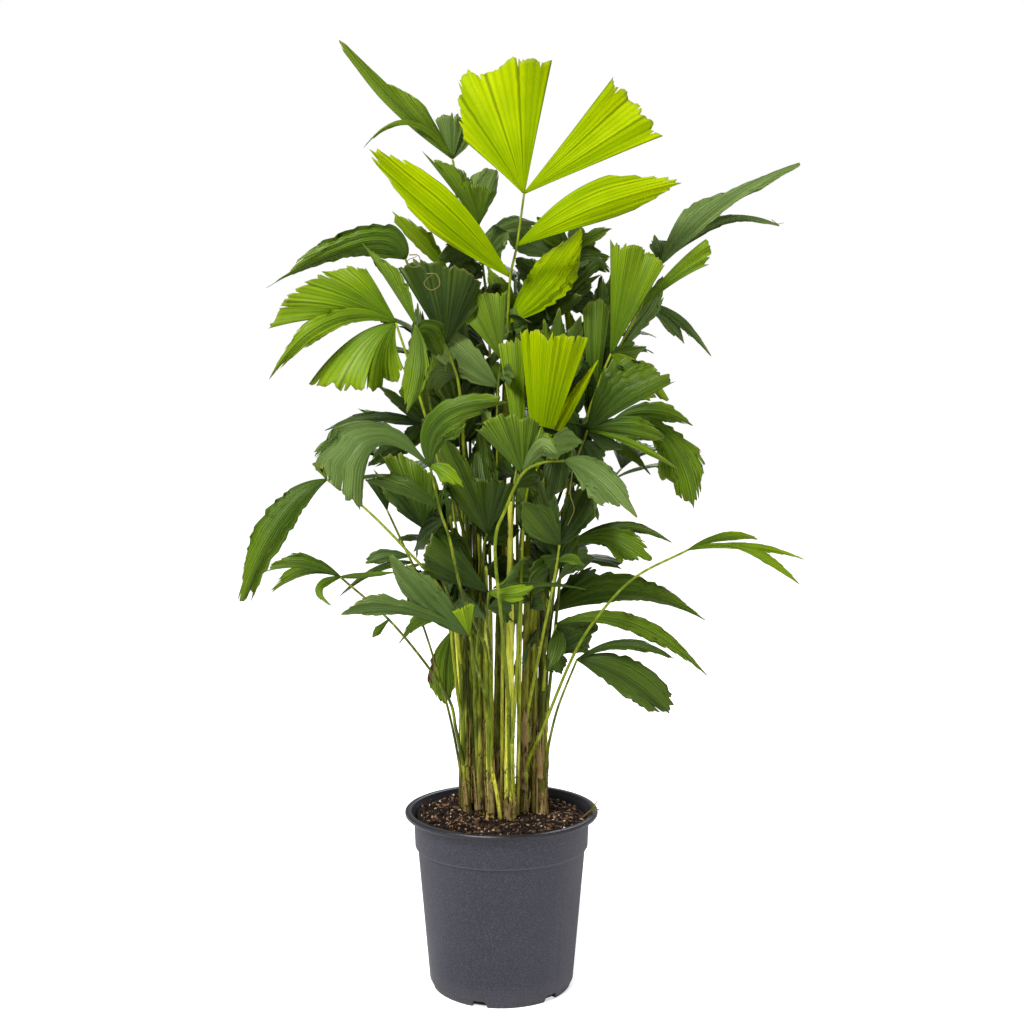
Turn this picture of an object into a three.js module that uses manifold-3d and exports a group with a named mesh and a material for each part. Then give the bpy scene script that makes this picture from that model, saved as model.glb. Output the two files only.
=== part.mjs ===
// A potted fishtail palm: a clump of canes in a round nursery pot, with long-stalked fronds whose
// leaflets are pleated wedges with a ragged end. Millimetres, +Z up, with the pot's underside at z = 0.

import * as THREE from "three";
import { mergeVertices } from "three/addons/utils/BufferGeometryUtils.js";
import Module from "manifold-3d";

const wasm = await Module();
wasm.setup();

// Driving sizes of the pot
const POT_HEIGHT = 216.6;
const RIM_RADIUS = 120;
const FOOT_RADIUS = 86.5;
const BASE_RADIUS = 89.6;
const BASE_HEIGHT = 7;
const STEP_HEIGHT = 171.6;
const STEP_RADIUS = 104.4;
const BAND_WIDTH = 3.2;
const BAND_TOP_RADIUS = 109.2;
const LIP_THICKNESS = 5.6;
const WALL = 2.2;
const FLOOR_THICKNESS = 3;
const POT_SEGMENTS = 30;
const NOTCH_COUNT = 6;
const NOTCH_WIDTH = 15;
const NOTCH_HEIGHT = 5.5;
const FIRST_NOTCH_DEG = -107;

// Driving sizes of the soil
const SOIL_TOP = 209;
const SOIL_HEAP = 5;
const SOIL_FALL_RIGHT = 0.028;
const SOIL_FALL_BACK = 0.02;
const SOIL_LUMP = 1.2;
const SOIL_RINGS = 2;

// Sizes that all limbs and leaflets share
const CLEAR = 0.3;
const GUARD = 0.7;
const STALK_GUARD = 0.5;
const CANE_SIDES = 7;
const CANE_STEPS = 4;
const FLARE = 0.28;
const FLARE_LENGTH = 26;
const STALK_SIDES = 4;
const STALK_FOOT_RADIUS = 2.9;
const STALK_TIP_RADIUS = 1.5;
const FOOT_RISE = 30;
const LEAF_ROOT_WIDTH = 3.2;
const LEAF_ROOT_SINK = 1;
const LEAF_THINNEST = 1.3;
const LEAF_CUP = 0.09;
const NARROW_LEAF = 14;
const WIDE_LEAF = 36;
const LONG_LEAF = 125;
const SWINGS = [0, 1, -1, 2, -2, 3, -3, 4, -4, 5, -5, 6, -6];
const SWING_STEP = 14;
const STALK_SHIFTS = 60;
const STALK_RISE_STEP = 12;
const STALK_BOWS = [[0, 0], [0, 8], [0, -8], [7, 0], [-7, 0]];
const STALK_TURNS_DEG = [0, 40, -40];

// The palm is set out as an eye in front of it sees it: across and up are read on the upright plane
// through the pot's axis, and depth, positive behind it, slides the point along the line of sight.
const EYE = new THREE.Vector3(13.1, -1536, 646.7);
const TO_EYE = new THREE.Vector3(0, -1, 0);
const UP = new THREE.Vector3(0, 0, 1);

const TONES = {
  lime: "#9dbd12",
  fresh: "#7ba32a",
  green: "#5c8a2a",
  deep: "#37571f",
  grey: "#6f8f5c",
};

const sightScale = (depth) => (depth - EYE.y) / -EYE.y;

function seen(across, up, depth) {
  const k = sightScale(depth);
  return new THREE.Vector3(EYE.x + (across - EYE.x) * k, depth, EYE.z + (up - EYE.z) * k);
}

// Solids made from closed three.js geometry, and back
function solidOf(geometry) {
  const bare = geometry.clone();
  bare.deleteAttribute("normal");
  bare.deleteAttribute("uv");
  const merged = mergeVertices(bare, 1e-4);
  const corners = merged.index.array;
  const kept = [];
  for (let i = 0; i < corners.length; i += 3) {
    const [a, b, c] = corners.slice(i, i + 3);
    if (a !== b && b !== c && c !== a) kept.push(a, b, c);
  }
  return new wasm.Manifold(
    new wasm.Mesh({
      numProp: 3,
      vertProperties: merged.attributes.position.array,
      triVerts: new Uint32Array(kept),
    }),
  );
}

function geometryOf(solid) {
  const mesh = solid.getMesh();
  const geometry = new THREE.BufferGeometry();
  geometry.setAttribute("position", new THREE.BufferAttribute(mesh.vertProperties, 3));
  geometry.setIndex(new THREE.BufferAttribute(mesh.triVerts, 1));
  return geometry;
}

function turned(profile, segments) {
  const points = profile.map(([radius, height]) => new THREE.Vector2(radius, height));
  return new THREE.LatheGeometry(points, segments).rotateX(Math.PI / 2);
}

function moveEach(geometry, place) {
  const position = geometry.attributes.position;
  const point = new THREE.Vector3();
  for (let i = 0; i < position.count; i += 1) {
    point.fromBufferAttribute(position, i);
    const moved = place(point);
    position.setXYZ(i, moved.x, moved.y, moved.z);
  }
  return geometry;
}

// The pot: a tapered wall with a stepped band, an outward lip and drain notches in its foot
function potSolid() {
  const lipBottom = POT_HEIGHT - LIP_THICKNESS;
  const outer = [
    [0, 0],
    [FOOT_RADIUS, 0],
    [BASE_RADIUS - 1.2, BASE_HEIGHT - 1],
    [BASE_RADIUS, BASE_HEIGHT],
    [STEP_RADIUS, STEP_HEIGHT],
    [STEP_RADIUS + BAND_WIDTH, STEP_HEIGHT + 1],
    [BAND_TOP_RADIUS, lipBottom],
    [RIM_RADIUS - 1, lipBottom],
    [RIM_RADIUS, lipBottom + 1.4],
    [RIM_RADIUS - 1.2, POT_HEIGHT],
    [BAND_TOP_RADIUS + 4, POT_HEIGHT],
  ];
  const inner = [
    [BAND_TOP_RADIUS - WALL, lipBottom - 4],
    [STEP_RADIUS + BAND_WIDTH - WALL, STEP_HEIGHT + 1],
    [STEP_RADIUS - WALL, STEP_HEIGHT],
    [BASE_RADIUS - WALL, BASE_HEIGHT - 1],
    [BASE_RADIUS - WALL - 2, FLOOR_THICKNESS],
    [0, FLOOR_THICKNESS],
  ];
  let pot = solidOf(turned([...outer, ...inner], POT_SEGMENTS));
  const outline = new THREE.Shape();
  outline.moveTo(-NOTCH_WIDTH / 2, -1);
  outline.lineTo(NOTCH_WIDTH / 2, -1);
  outline.lineTo(NOTCH_WIDTH / 2 - 2.5, NOTCH_HEIGHT);
  outline.lineTo(-NOTCH_WIDTH / 2 + 2.5, NOTCH_HEIGHT);
  for (let i = 0; i < NOTCH_COUNT; i += 1) {
    const turn = THREE.MathUtils.degToRad(FIRST_NOTCH_DEG + (i * 360) / NOTCH_COUNT);
    const notch = new THREE.ExtrudeGeometry(outline, { depth: 14, bevelEnabled: false });
    notch.rotateX(Math.PI / 2).translate(0, BASE_RADIUS + 4, 0).rotateZ(turn - Math.PI / 2);
    pot = pot.subtract(solidOf(notch));
  }
  return pot;
}

// The soil: a plug that fills the pot, with a lumpy top that is heaped round the canes
function soilHeight(x, y) {
  const share = Math.min(1, Math.hypot(x, y) / STEP_RADIUS);
  const heap = SOIL_HEAP * (1 - share * share);
  const lump = SOIL_LUMP * Math.sin(x / 15 + 1) * Math.cos(y / 19);
  return SOIL_TOP + heap - SOIL_FALL_RIGHT * x - SOIL_FALL_BACK * y + lump;
}

function soilSolid(raise) {
  const wall = [
    [0, FLOOR_THICKNESS + CLEAR],
    [BASE_RADIUS - WALL - 2.2, FLOOR_THICKNESS + CLEAR],
    [BASE_RADIUS - WALL - CLEAR, BASE_HEIGHT - 0.6],
    [STEP_RADIUS - WALL - CLEAR, STEP_HEIGHT + 0.2],
    [STEP_RADIUS + BAND_WIDTH - WALL - 2 * CLEAR, STEP_HEIGHT + 2],
  ];
  const edge = STEP_RADIUS + BAND_WIDTH - WALL - CLEAR;
  const top = [];
  for (let i = SOIL_RINGS; i >= 0; i -= 1) top.push([(edge * i) / SOIL_RINGS, POT_HEIGHT]);
  const plug = turned([...wall, ...top], POT_SEGMENTS);
  const lay = (p) => (p.z === POT_HEIGHT ? p.setZ(soilHeight(p.x, p.y) + raise) : p);
  moveEach(plug, (p) => lay(p.z > POT_HEIGHT - 0.01 ? p.setZ(POT_HEIGHT) : p));
  return solidOf(plug);
}

// A limb: a tapering tube along a curve, closed at both ends
function limbSolid(curve, radiusAt, sides, steps) {
  const tube = new THREE.CylinderGeometry(1, 1, 1, sides, steps);
  const frames = [];
  let across = new THREE.Vector3(1, 0, 0);
  for (let i = 0; i <= steps; i += 1) {
    const along = curve.getTangent(i / steps);
    across = across.clone().addScaledVector(along, -across.dot(along)).normalize();
    frames.push([curve.getPoint(i / steps), across, along.clone().cross(across)]);
  }
  moveEach(tube, (p) => {
    const t = p.y + 0.5;
    const [centre, first, second] = frames[Math.round(t * steps)];
    const r = radiusAt(t);
    return centre.clone().addScaledVector(first, p.x * r).addScaledVector(second, -p.z * r);
  });
  return solidOf(tube);
}

function smoothCurve(points) {
  return new THREE.CatmullRomCurve3(points, false, "catmullrom", 0.5);
}

// The canes: foot across and depth, top across, depth and height, and the radius at each end
const CANES = {
  a: { foot: [-41, -8], top: [-50, -28, 440], radii: [4.6, 2.6], tone: "fresh" },
  b: { foot: [-31, 16], top: [-44, 42, 620], radii: [5, 2.8], tone: "green" },
  c: { foot: [-26, -22], top: [-34, -48, 600], radii: [5.2, 2.8], tone: "fresh" },
  d: { foot: [-13, -40], top: [-20, -72, 520], radii: [4.4, 2.6], tone: "lime" },
  k: { foot: [-6, 2], top: [6, 12, 790], radii: [7.4, 3.2], tone: "deep" },
  e: { foot: [10, -34], top: [11, -62, 600], radii: [7, 3], tone: "lime" },
  l: { foot: [6, 36], top: [2, 78, 700], radii: [6, 3], tone: "green" },
  f: { foot: [27, -14], top: [35, -26, 640], radii: [5.8, 2.8], tone: "deep" },
  g: { foot: [36, 20], top: [44, 52, 620], radii: [5, 2.8], tone: "green" },
  h: { foot: [50, -4], top: [52, -6, 560], radii: [5.6, 2.8], tone: "deep" },
  m: { foot: [-16, 36], top: [-32, 88, 640], radii: [5.2, 2.8], tone: "fresh" },
};

function caneLine(cane) {
  const [x, y] = cane.foot;
  const [topAcross, topDepth, topUp] = cane.top;
  const foot = new THREE.Vector3(x, y, soilHeight(x, y) - 6);
  const tip = seen(topAcross, topUp, topDepth);
  const middle = foot.clone().lerp(tip, 0.5);
  middle.x = THREE.MathUtils.lerp(foot.x, tip.x, 0.4);
  middle.y = THREE.MathUtils.lerp(foot.y, tip.y, 0.38);
  return new THREE.QuadraticBezierCurve3(foot, middle, tip);
}

function canePoint(cane, height) {
  const line = caneLine(cane);
  const share = (height - line.v0.z) / (line.v2.z - line.v0.z);
  return line.getPoint(THREE.MathUtils.clamp(share, 0, 1));
}

function caneRadius(cane, t) {
  const line = caneLine(cane);
  const height = t * (line.v2.z - line.v0.z);
  const flare = 1 + FLARE * Math.exp(-height / FLARE_LENGTH);
  return THREE.MathUtils.lerp(cane.radii[0], cane.radii[1], t) * flare;
}

function caneSolid(cane, swell) {
  return limbSolid(caneLine(cane), (t) => caneRadius(cane, t) + swell, CANE_SIDES, CANE_STEPS);
}

// How the width of a leaflet grows from its root, 0, to its end, 1
const clamp01 = (v) => Math.min(1, Math.max(0, v));
const WIDTHS = {
  blade: (t) => Math.sin((Math.PI / 2) * clamp01(t / 0.6)) * (1 - 0.3 * clamp01((t - 0.6) / 0.4)),
  wedge: (t) => Math.pow(t, 0.9),
  late: (t) => 0.16 * clamp01(t / 0.2) + 0.84 * Math.pow(clamp01((t - 0.1) / 0.65), 1.6),
  strap: (t) => Math.pow(clamp01(t / 0.25), 0.7) * (1 - 0.45 * t * t),
  tailed: (t) => Math.pow(clamp01(t / 0.3), 0.7) * (1 - 0.82 * clamp01((t - 0.35) / 0.65)),
  lance: (t) => Math.pow(Math.sin(Math.PI * clamp01(0.03 + 0.93 * t)), 0.75),
};

// One leaflet holds: base and tip; bend, how far its middle stands off the straight line; facing, the way
// its upper side looks; tail, where between its left edge, 0, and right edge, 1, the longest rib runs;
// cuts, how much shorter the ribs at those edges are; and width, or spread in degrees on a fan.
function ribLength(leaf, u) {
  const { tail, cuts, power } = leaf;
  if (u < tail) return 1 - cuts[0] * Math.pow((tail - u) / tail, power);
  if (u > tail) return 1 - cuts[1] * Math.pow((u - tail) / (1 - tail), power);
  return 1;
}

function leafPlace(leaf, u, t) {
  const reach = t * ribLength(leaf, u);
  const chord = leaf.tip.clone().sub(leaf.base);
  const out = chord.clone().multiplyScalar(reach).addScaledVector(leaf.bend, 4 * reach * (1 - reach));
  const along = chord.clone().addScaledVector(leaf.bend, 4 * (1 - 2 * reach)).normalize();
  const face = leaf.facing.clone().addScaledVector(along, -leaf.facing.dot(along)).normalize();
  const turn = THREE.MathUtils.degToRad(leaf.turn);
  const normal = face.applyAxisAngle(along, -turn);
  const side = normal.clone().cross(along);
  const root = t === 0 ? (u > 0.5 ? -1 : 1) * 0.5 * LEAF_ROOT_WIDTH : 0;
  let half = leaf.width;
  if (leaf.spread) {
    out.applyAxisAngle(normal, THREE.MathUtils.degToRad(leaf.spread * (leaf.tail - u)));
    half = leaf.spread * (Math.PI / 180) * chord.length() * reach;
  } else {
    half = leaf.width * WIDTHS[leaf.grows](reach);
    out.addScaledVector(side, half * (leaf.tail - u));
  }
  out.addScaledVector(side, root);
  out.addScaledVector(normal, LEAF_CUP * half * (1 - (2 * u - 1) ** 2));
  out.addScaledVector(along, -LEAF_ROOT_SINK * (1 - t) ** 4);
  return { point: out.add(leaf.base), normal };
}

// The ribs that the solid of a leaflet keeps, with its longest one among them
function leafRibs(leaf) {
  if (leaf.spread > 30) return [0, 0.25, 0.5, 0.75, 1];
  const middle = leaf.tail > 0.12 && leaf.tail < 0.88 ? leaf.tail : 0.5;
  if (leaf.width > WIDE_LEAF && !leaf.wild) {
    return middle < 0.5 ? [0, middle, (1 + middle) / 2, 1] : [0, middle / 2, middle, 1];
  }
  return leaf.width < NARROW_LEAF && !leaf.spread ? [0, 1] : [0, middle, 1];
}

// A grid of points on each face of the blade, both faces split along the same diagonals, and a rim
function leafSolid(leaf, swell) {
  const length = leaf.tip.distanceTo(leaf.base);
  const bent = length > LONG_LEAF || leaf.bend.length() > 0.22 * length;
  const ribs = leafRibs(leaf);
  const rows = leaf.wild || !bent ? 2 : 3;
  const thick = Math.max(LEAF_THINNEST, 0.0115 * length) + 2 * swell;
  const points = [];
  for (const face of [0.5, -0.5]) {
    for (let row = 0; row <= rows; row += 1) {
      for (const u of ribs) {
        const { point, normal } = leafPlace(leaf, u, row / rows);
        points.push(point.addScaledVector(normal, face * thick));
      }
    }
  }
  const across = ribs.length;
  const below = across * (rows + 1);
  const corners = [];
  const addQuad = (a, b, c, d) => corners.push(a, b, c, a, c, d);
  for (let row = 0; row < rows; row += 1) {
    const start = row * across;
    for (let rib = start; rib < start + across - 1; rib += 1) {
      const next = rib + across;
      addQuad(rib, rib + 1, next + 1, next);
      corners.push(below + rib, below + next + 1, below + rib + 1);
      corners.push(below + rib, below + next, below + next + 1);
    }
    const end = start + across - 1;
    addQuad(start, start + across, below + start + across, below + start);
    addQuad(end + across, end, below + end, below + end + across);
  }
  const last = rows * across;
  for (let rib = 0; rib < across - 1; rib += 1) {
    addQuad(rib + 1, rib, below + rib, below + rib + 1);
    addQuad(last + rib, last + rib + 1, below + last + rib + 1, below + last + rib);
  }
  const block = new THREE.BufferGeometry().setFromPoints(points);
  block.setIndex(corners);
  return solidOf(block);
}

// Leaflets as seen from the front: at, the stalk point it grows from; tip; its size; its tail
const HAND = { turn: 0, cuts: [0.3, 0.3], power: 1.3, lift: 0, shift: 0 };

function blade(at, tip, width, tail, more = {}) {
  return { ...HAND, at, tip, width, spread: 0, tail, grows: "blade", ...more };
}

function fan(at, tip, spread, tail, more = {}) {
  return { ...HAND, at, tip, width: 0, spread, tail, cuts: [0.15, 0.15], ...more };
}

function strap(at, tip, width, more = {}) {
  return { ...HAND, at, tip, width, spread: 0, tail: 0.5, grows: "strap", ...more };
}

// The fronds that the front shows, from the top down. Each stalk leaves its cane at height from.
const FRONDS = [
  {
    name: "top", cane: "k", from: 752, tone: "lime",
    stalk: [[8, 820, 10], [11, 876, 4], [19, 914, 0], [28, 978, -4]],
    leaves: [
      fan(3, [59, 1138, -14], 59, 1, { cuts: [0.42, 0], power: 5 }),
      fan(3, [136, 1117, -24], 31, 0, { cuts: [0, 0.05] }),
      blade(1, [-165, 1028, -40], 58, 0.46, { cuts: [0.5, 0.12], lift: -4 }),
      blade(2, [218, 992, -40], 58, 0.66, { cuts: [0.12, 0.5], lift: 14 }),
      blade(0, [100, 940, 60], 46, 0.4, { lift: -6 }),
    ],
  },
  {
    name: "tip_left", cane: "b", from: 360, tone: "green",
    stalk: [[-40, 760, 62], [-50, 900, 66], [-57, 1000, 60], [-60, 1020, 56]],
    leaves: [
      blade(3, [-195, 1166, 20], 32, 0.4, { grows: "tailed", shift: 3, lift: 3 }),
      blade(3, [-56, 1077, 70], 30, 0.1, { tone: "grey" }),
      strap(3, [-169, 1029, 10], 8, { lift: 46 }),
    ],
  },
  {
    name: "inner_left", cane: "k", from: 470, tone: "green",
    stalk: [[-16, 820, 52], [-24, 900, 56], [-28, 940, 52]],
    leaves: [
      blade(2, [-97, 1030, 30], 30, 0, { cuts: [0, 0.5] }),
      fan(2, [-40, 988, 44], 45, 0, { cuts: [0, 0.1] }),
      blade(2, [8, 1006, 90], 34, 0.7, { tone: "grey" }),
      blade(1.4, [46, 950, 100], 22, 0.6, { lift: 12, tone: "grey" }),
    ],
  },
  {
    name: "arching_left", cane: "c", from: 380, tone: "deep",
    stalk: [[-50, 722, -52], [-64, 780, -44], [-95, 845, -40], [-118, 898, -44]],
    leaves: [
      blade(3, [-290, 862, -70], 46, 0.5, { shift: 30, lift: 44, grows: "tailed" }),
      strap(3, [-140, 872, -30], 9, { lift: 16, shift: -24 }),
      fan(1.2, [-128, 888, -62], 74, 0, { cuts: [0, 0.25] }),
    ],
  },
  {
    name: "lime_left", cane: "m", from: 420, tone: "fresh",
    stalk: [[-58, 780, 60], [-66, 882, 40]],
    leaves: [
      blade(1, [-136, 958, 20], 28, 0.3, { cuts: [0.1, 0.5] }),
      blade(0.5, [-112, 905, 70], 30, 0.5, { tone: "grey" }),
      blade(1, [-24, 874, 64], 40, 0.6, { lift: 6, tone: "deep" }),
    ],
  },
  {
    name: "broad_left", cane: "a", from: 395, tone: "fresh",
    stalk: [[-66, 600, -52], [-104, 740, -70], [-130, 820, -78]],
    leaves: [
      fan(2, [-288, 815, -110], 60, 0, { cuts: [0, 0.62], power: 1, lift: 8 }),
      blade(2, [-289, 747, -130], 27, 0.5, { lift: 37, shift: -6 }),
      fan(2, [-240, 746, -90], 64, 1, { cuts: [0.44, 0], power: 1, lift: 18 }),
    ],
  },
  {
    name: "folded_left", cane: "c", from: 500, tone: "green",
    stalk: [[-84, 700, -96], [-106, 818, -104]],
    leaves: [
      blade(1, [-172, 918, -90], 24, 0, { cuts: [0, 0.55] }),
      blade(1, [-119, 706, -120], 26, 0.5, { shift: 8 }),
      blade(0.9, [-74, 776, -60], 46, 0.5, { lift: 14, tone: "green" }),
    ],
  },
  {
    name: "upper_right", cane: "l", from: 470, tone: "deep",
    stalk: [[104, 700, 62], [137, 772, 58], [168, 832, 54], [198, 893, 48]],
    leaves: [
      blade(3, [368, 1008, 10], 30, 0.5, { shift: -8, lift: 16, grows: "tailed" }),
      blade(3, [345, 940, 60], 15, 0.5, { lift: 16, tone: "grey" }),
      blade(3, [187, 926, 66], 14, 0.4, { tone: "grey" }),
      blade(2.1, [256, 912, 30], 32, 0.2, { grows: "wedge", cuts: [0, 0.12], tone: "fresh" }),
      blade(1.2, [205, 886, 70], 26, 0.3, { tone: "grey" }),
    ],
  },
  {
    name: "fan_right", cane: "g", from: 400, tone: "fresh",
    stalk: [[92, 660, 24], [118, 740, 22], [135, 782, 20]],
    leaves: [
      fan(2, [147, 916, 6], 24, 0, { cuts: [0, 0.06] }),
      blade(2, [208, 722, 70], 44, 0.05, { lift: 16, cuts: [0, 0.2] }),
    ],
  },
  {
    name: "high_behind", cane: "l", from: 560, tone: "green",
    stalk: [[44, 800, 128], [74, 880, 134], [86, 906, 136]],
    leaves: [
      blade(2, [137, 936, 120], 16, 0.5, { lift: 4 }),
      blade(2, [96, 946, 150], 22, 0.5, { tone: "grey" }),
      blade(2, [42, 950, 130], 30, 0.5, { tone: "green" }),
      blade(1.5, [-4, 938, 160], 36, 0.5, { tone: "grey" }),
      blade(1, [138, 878, 110], 20, 0.5, { lift: 16, tone: "deep" }),
      blade(0.7, [14, 900, 150], 34, 0.5, { tone: "deep" }),
      blade(0.6, [128, 842, 150], 34, 0.5, { tone: "deep" }),
    ],
  },
  {
    name: "shade_left", cane: "b", from: 400, tone: "deep",
    stalk: [[-50, 650, 26], [-52, 700, 22]],
    leaves: [
      blade(1, [-24, 800, 10], 40, 0.5, {}),
      blade(1, [-86, 796, 0], 40, 0.5, { tone: "green" }),
      blade(0.6, [-96, 738, 30], 34, 0.5, {}),
      blade(0.4, [-4, 716, 20], 34, 0.5, {}),
    ],
  },
  {
    name: "shade_right", cane: "f", from: 420, tone: "deep",
    stalk: [[50, 640, 4], [60, 716, 0]],
    leaves: [
      blade(1, [98, 830, -14], 44, 0.5, {}),
      blade(1, [52, 826, -20], 36, 0.5, { tone: "green" }),
      blade(0.4, [108, 764, 10], 36, 0.5, {}),
      blade(0.2, [130, 706, -10], 36, 0.5, {}),
    ],
  },
  {
    name: "drooping_right", cane: "l", from: 400, tone: "grey",
    stalk: [[120, 740, 110], [160, 815, 100], [180, 842, 94]],
    leaves: [
      blade(2, [262, 776, 90], 12, 0.3, { lift: 16 }),
      blade(2, [227, 793, 100], 17, 0.6, { lift: 4 }),
      blade(1.4, [137, 884, 140], 16, 0.5, { lift: 6 }),
    ],
  },
  {
    name: "behind_right", cane: "l", from: 380, tone: "deep",
    stalk: [[22, 760, 92], [24, 818, 90]],
    leaves: [
      blade(1, [88, 916, 100], 32, 0.5, { tone: "green" }),
      blade(1, [128, 902, 60], 30, 0.5, {}),
      blade(1, [104, 856, 40], 30, 0.6, { tone: "deep" }),
      blade(1, [-20, 890, 110], 30, 0.5, { tone: "fresh" }),
    ],
  },
  {
    name: "upright_right", cane: "g", from: 500, tone: "green",
    stalk: [[84, 610, 60], [112, 690, 70]],
    leaves: [
      blade(1, [118, 854, 60], 38, 0.5, { grows: "wedge", cuts: [0.1, 0.1] }),
      blade(1, [76, 852, 84], 26, 0.3, { tone: "lime" }),
      blade(1, [170, 690, 40], 20, 0.4, { tone: "fresh" }),
      blade(1, [142, 898, 96], 38, 0.5, { tone: "deep" }),
    ],
  },
  {
    name: "heart", cane: "e", from: 300, tone: "lime",
    stalk: [[30, 600, -76], [44, 640, -80]],
    leaves: [
      blade(1, [66, 812, -96], 88, 0.5, { grows: "wedge", cuts: [0.03, 0.03] }),
      blade(0, [10, 812, -60], 34, 0.5, { grows: "wedge", cuts: [0.05, 0.05], tone: "fresh" }),
      blade(1, [122, 778, -70], 16, 0.7, {}),
    ],
  },
  {
    name: "inner_wedge", cane: "k", from: 380, tone: "green",
    stalk: [[-5, 716, -34], [0, 776, -44]],
    leaves: [
      fan(1, [8, 862, -50], 48, 1, { cuts: [0.1, 0], tone: "fresh" }),
      blade(0.3, [-85, 815, -60], 50, 0.6, { cuts: [0.2, 0.2], tone: "grey" }),
    ],
  },
  {
    name: "crossing_left", cane: "m", from: 360, tone: "deep",
    stalk: [[-70, 650, 40], [-92, 696, 30]],
    leaves: [
      strap(1, [-156, 747, 20], 16, {}),
      blade(1, [-221, 686, 40], 14, 0.4, { lift: 12 }),
      blade(1, [-182, 717, 70], 11, 0.4, { lift: -6 }),
      blade(1, [-110, 772, 40], 50, 0.5, { tone: "green" }),
    ],
  },
  {
    name: "front_left", cane: "d", from: 400, tone: "green",
    stalk: [[-50, 490, -128], [-64, 552, -146], [-76, 590, -156], [-88, 642, -166]],
    leaves: [
      blade(3, [9, 722, -196], 46, 0.35, { shift: -34, lift: 20, tone: "green", cuts: [0.1, 0.5] }),
      blade(3, [-172, 588, -190], 72, 0.03, { shift: -26, lift: 52, grows: "late", tone: "grey" }),
      blade(3, [-47, 617, -180], 24, 0.3, { lift: 10, tone: "lime" }),
      blade(2, [-170, 626, -150], 26, 0.2, { tone: "deep", lift: 4 }),
    ],
  },
  {
    name: "left_fan", cane: "c", from: 380, tone: "deep",
    stalk: [[-60, 470, -84], [-82, 530, -102], [-95, 566, -108]],
    leaves: [
      fan(2, [-152, 661, -124], 94, 0, { cuts: [0, 0.5], power: 1.1, tone: "green" }),
      strap(2, [-164, 628, -100], 12, { lift: 14 }),
    ],
  },
  {
    name: "little_left", cane: "b", from: 380, tone: "deep",
    stalk: [[-104, 510, 16], [-142, 590, 6]],
    leaves: [
      fan(1, [-168, 627, 0], 52, 0, { cuts: [0, 0.35] }),
      blade(0.3, [-197, 512, 10], 15, 0.4, { lift: 24, tone: "grey" }),
      strap(0.2, [-208, 474, -6], 9, { lift: 14 }),
    ],
  },
  {
    name: "far_left", cane: "a", from: 330, tone: "green",
    stalk: [[-68, 480, -24], [-120, 542, -18], [-172, 594, -10], [-216, 627, 0]],
    leaves: [
      blade(3, [-320, 482, -30], 40, 0.5, { shift: -1, lift: 28, grows: "lance" }),
      blade(3, [-310, 474, 20], 15, 0.4, { shift: 2, lift: 6, tone: "deep" }),
      blade(3, [-236, 645, 40], 14, 0.5, { lift: 8 }),
    ],
  },
  {
    name: "low_left", cane: "a", from: 262, tone: "green",
    stalk: [[-64, 350, -26], [-90, 392, -34], [-140, 453, -44], [-200, 506, -54]],
    leaves: [
      blade(3, [-297, 514, -70], 20, 0.2, { cuts: [0, 0.4], lift: 11 }),
      blade(3, [-293, 480, -40], 15, 0.2, { lift: 17 }),
      strap(3, [-209, 468, -90], 11, { shift: -22, lift: 4 }),
      strap(3, [-126, 512, -80], 7, {}),
      blade(2, [-160, 431, -40], 16, 0.4, { grows: "wedge" }),
    ],
  },
  {
    name: "lower_left", cane: "d", from: 330, tone: "fresh",
    stalk: [[-30, 392, -120], [-40, 433, -134]],
    leaves: [
      blade(1, [-142, 536, -170], 38, 0.5, { lift: -6, tone: "fresh" }),
      blade(1, [-194, 456, -190], 28, 0.3, { lift: 18, grows: "late", tone: "grey" }),
      fan(1, [-62, 464, -150], 56, 0, { cuts: [0, 0], tone: "lime" }),
      blade(1, [-128, 420, -120], 24, 0.4, { lift: 18, tone: "green" }),
    ],
  },
  {
    name: "dark_left", cane: "d", from: 380, tone: "deep",
    stalk: [[-18, 450, -104], [-16, 487, -110]],
    leaves: [
      fan(1, [-74, 577, -140], 42, 1, { cuts: [0.2, 0], power: 1 }),
      blade(1, [42, 495, -150], 22, 0.4, { tone: "fresh", lift: -4 }),
      strap(1, [113, 488, -120], 6, { lift: 9 }),
    ],
  },
  {
    name: "hanging_left", cane: "b", from: 310, tone: "green",
    stalk: [[-52, 400, 34], [-60, 440, 38]],
    leaves: [
      blade(1, [-68, 342, 44], 40, 0.5, { shift: -8, cuts: [0.2, 0.3] }),
      blade(1, [-90, 530, 70], 34, 0.4, { tone: "deep" }),
    ],
  },
  {
    name: "dark_centre", cane: "c", from: 330, tone: "deep",
    stalk: [[-22, 540, -78], [-18, 560, -84]],
    leaves: [
      fan(1, [-42, 626, -96], 54, 0, { cuts: [0, 0.02] }),
      blade(1, [-78, 690, -60], 40, 0.6, { tone: "deep" }),
    ],
  },
  {
    name: "front_arch", cane: "e", from: 330, tone: "fresh",
    stalk: [[-8, 546, -150], [6, 592, -166], [26, 634, -176], [52, 648, -184], [78, 650, -190]],
    leaves: [
      blade(4, [166, 587, -230], 44, 0.3, { lift: 20, tone: "grey" }),
      fan(2, [-36, 692, -190], 94, 0, { cuts: [0, 0.35], tone: "green" }),
      blade(2, [70, 656, -210], 26, 0.3, { lift: 26, tone: "grey" }),
    ],
  },
  {
    name: "dark_shelf", cane: "f", from: 560, tone: "deep",
    stalk: [[64, 650, -100], [75, 684, -112]],
    leaves: [
      blade(1, [-36, 694, -170], 26, 0.5, { turn: 50, lift: 2 }),
      blade(1, [60, 600, -150], 36, 0.5, { tone: "deep", lift: -4 }),
    ],
  },
  {
    name: "grey_right", cane: "h", from: 330, tone: "deep",
    stalk: [[84, 620, -20], [106, 688, -24]],
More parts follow.
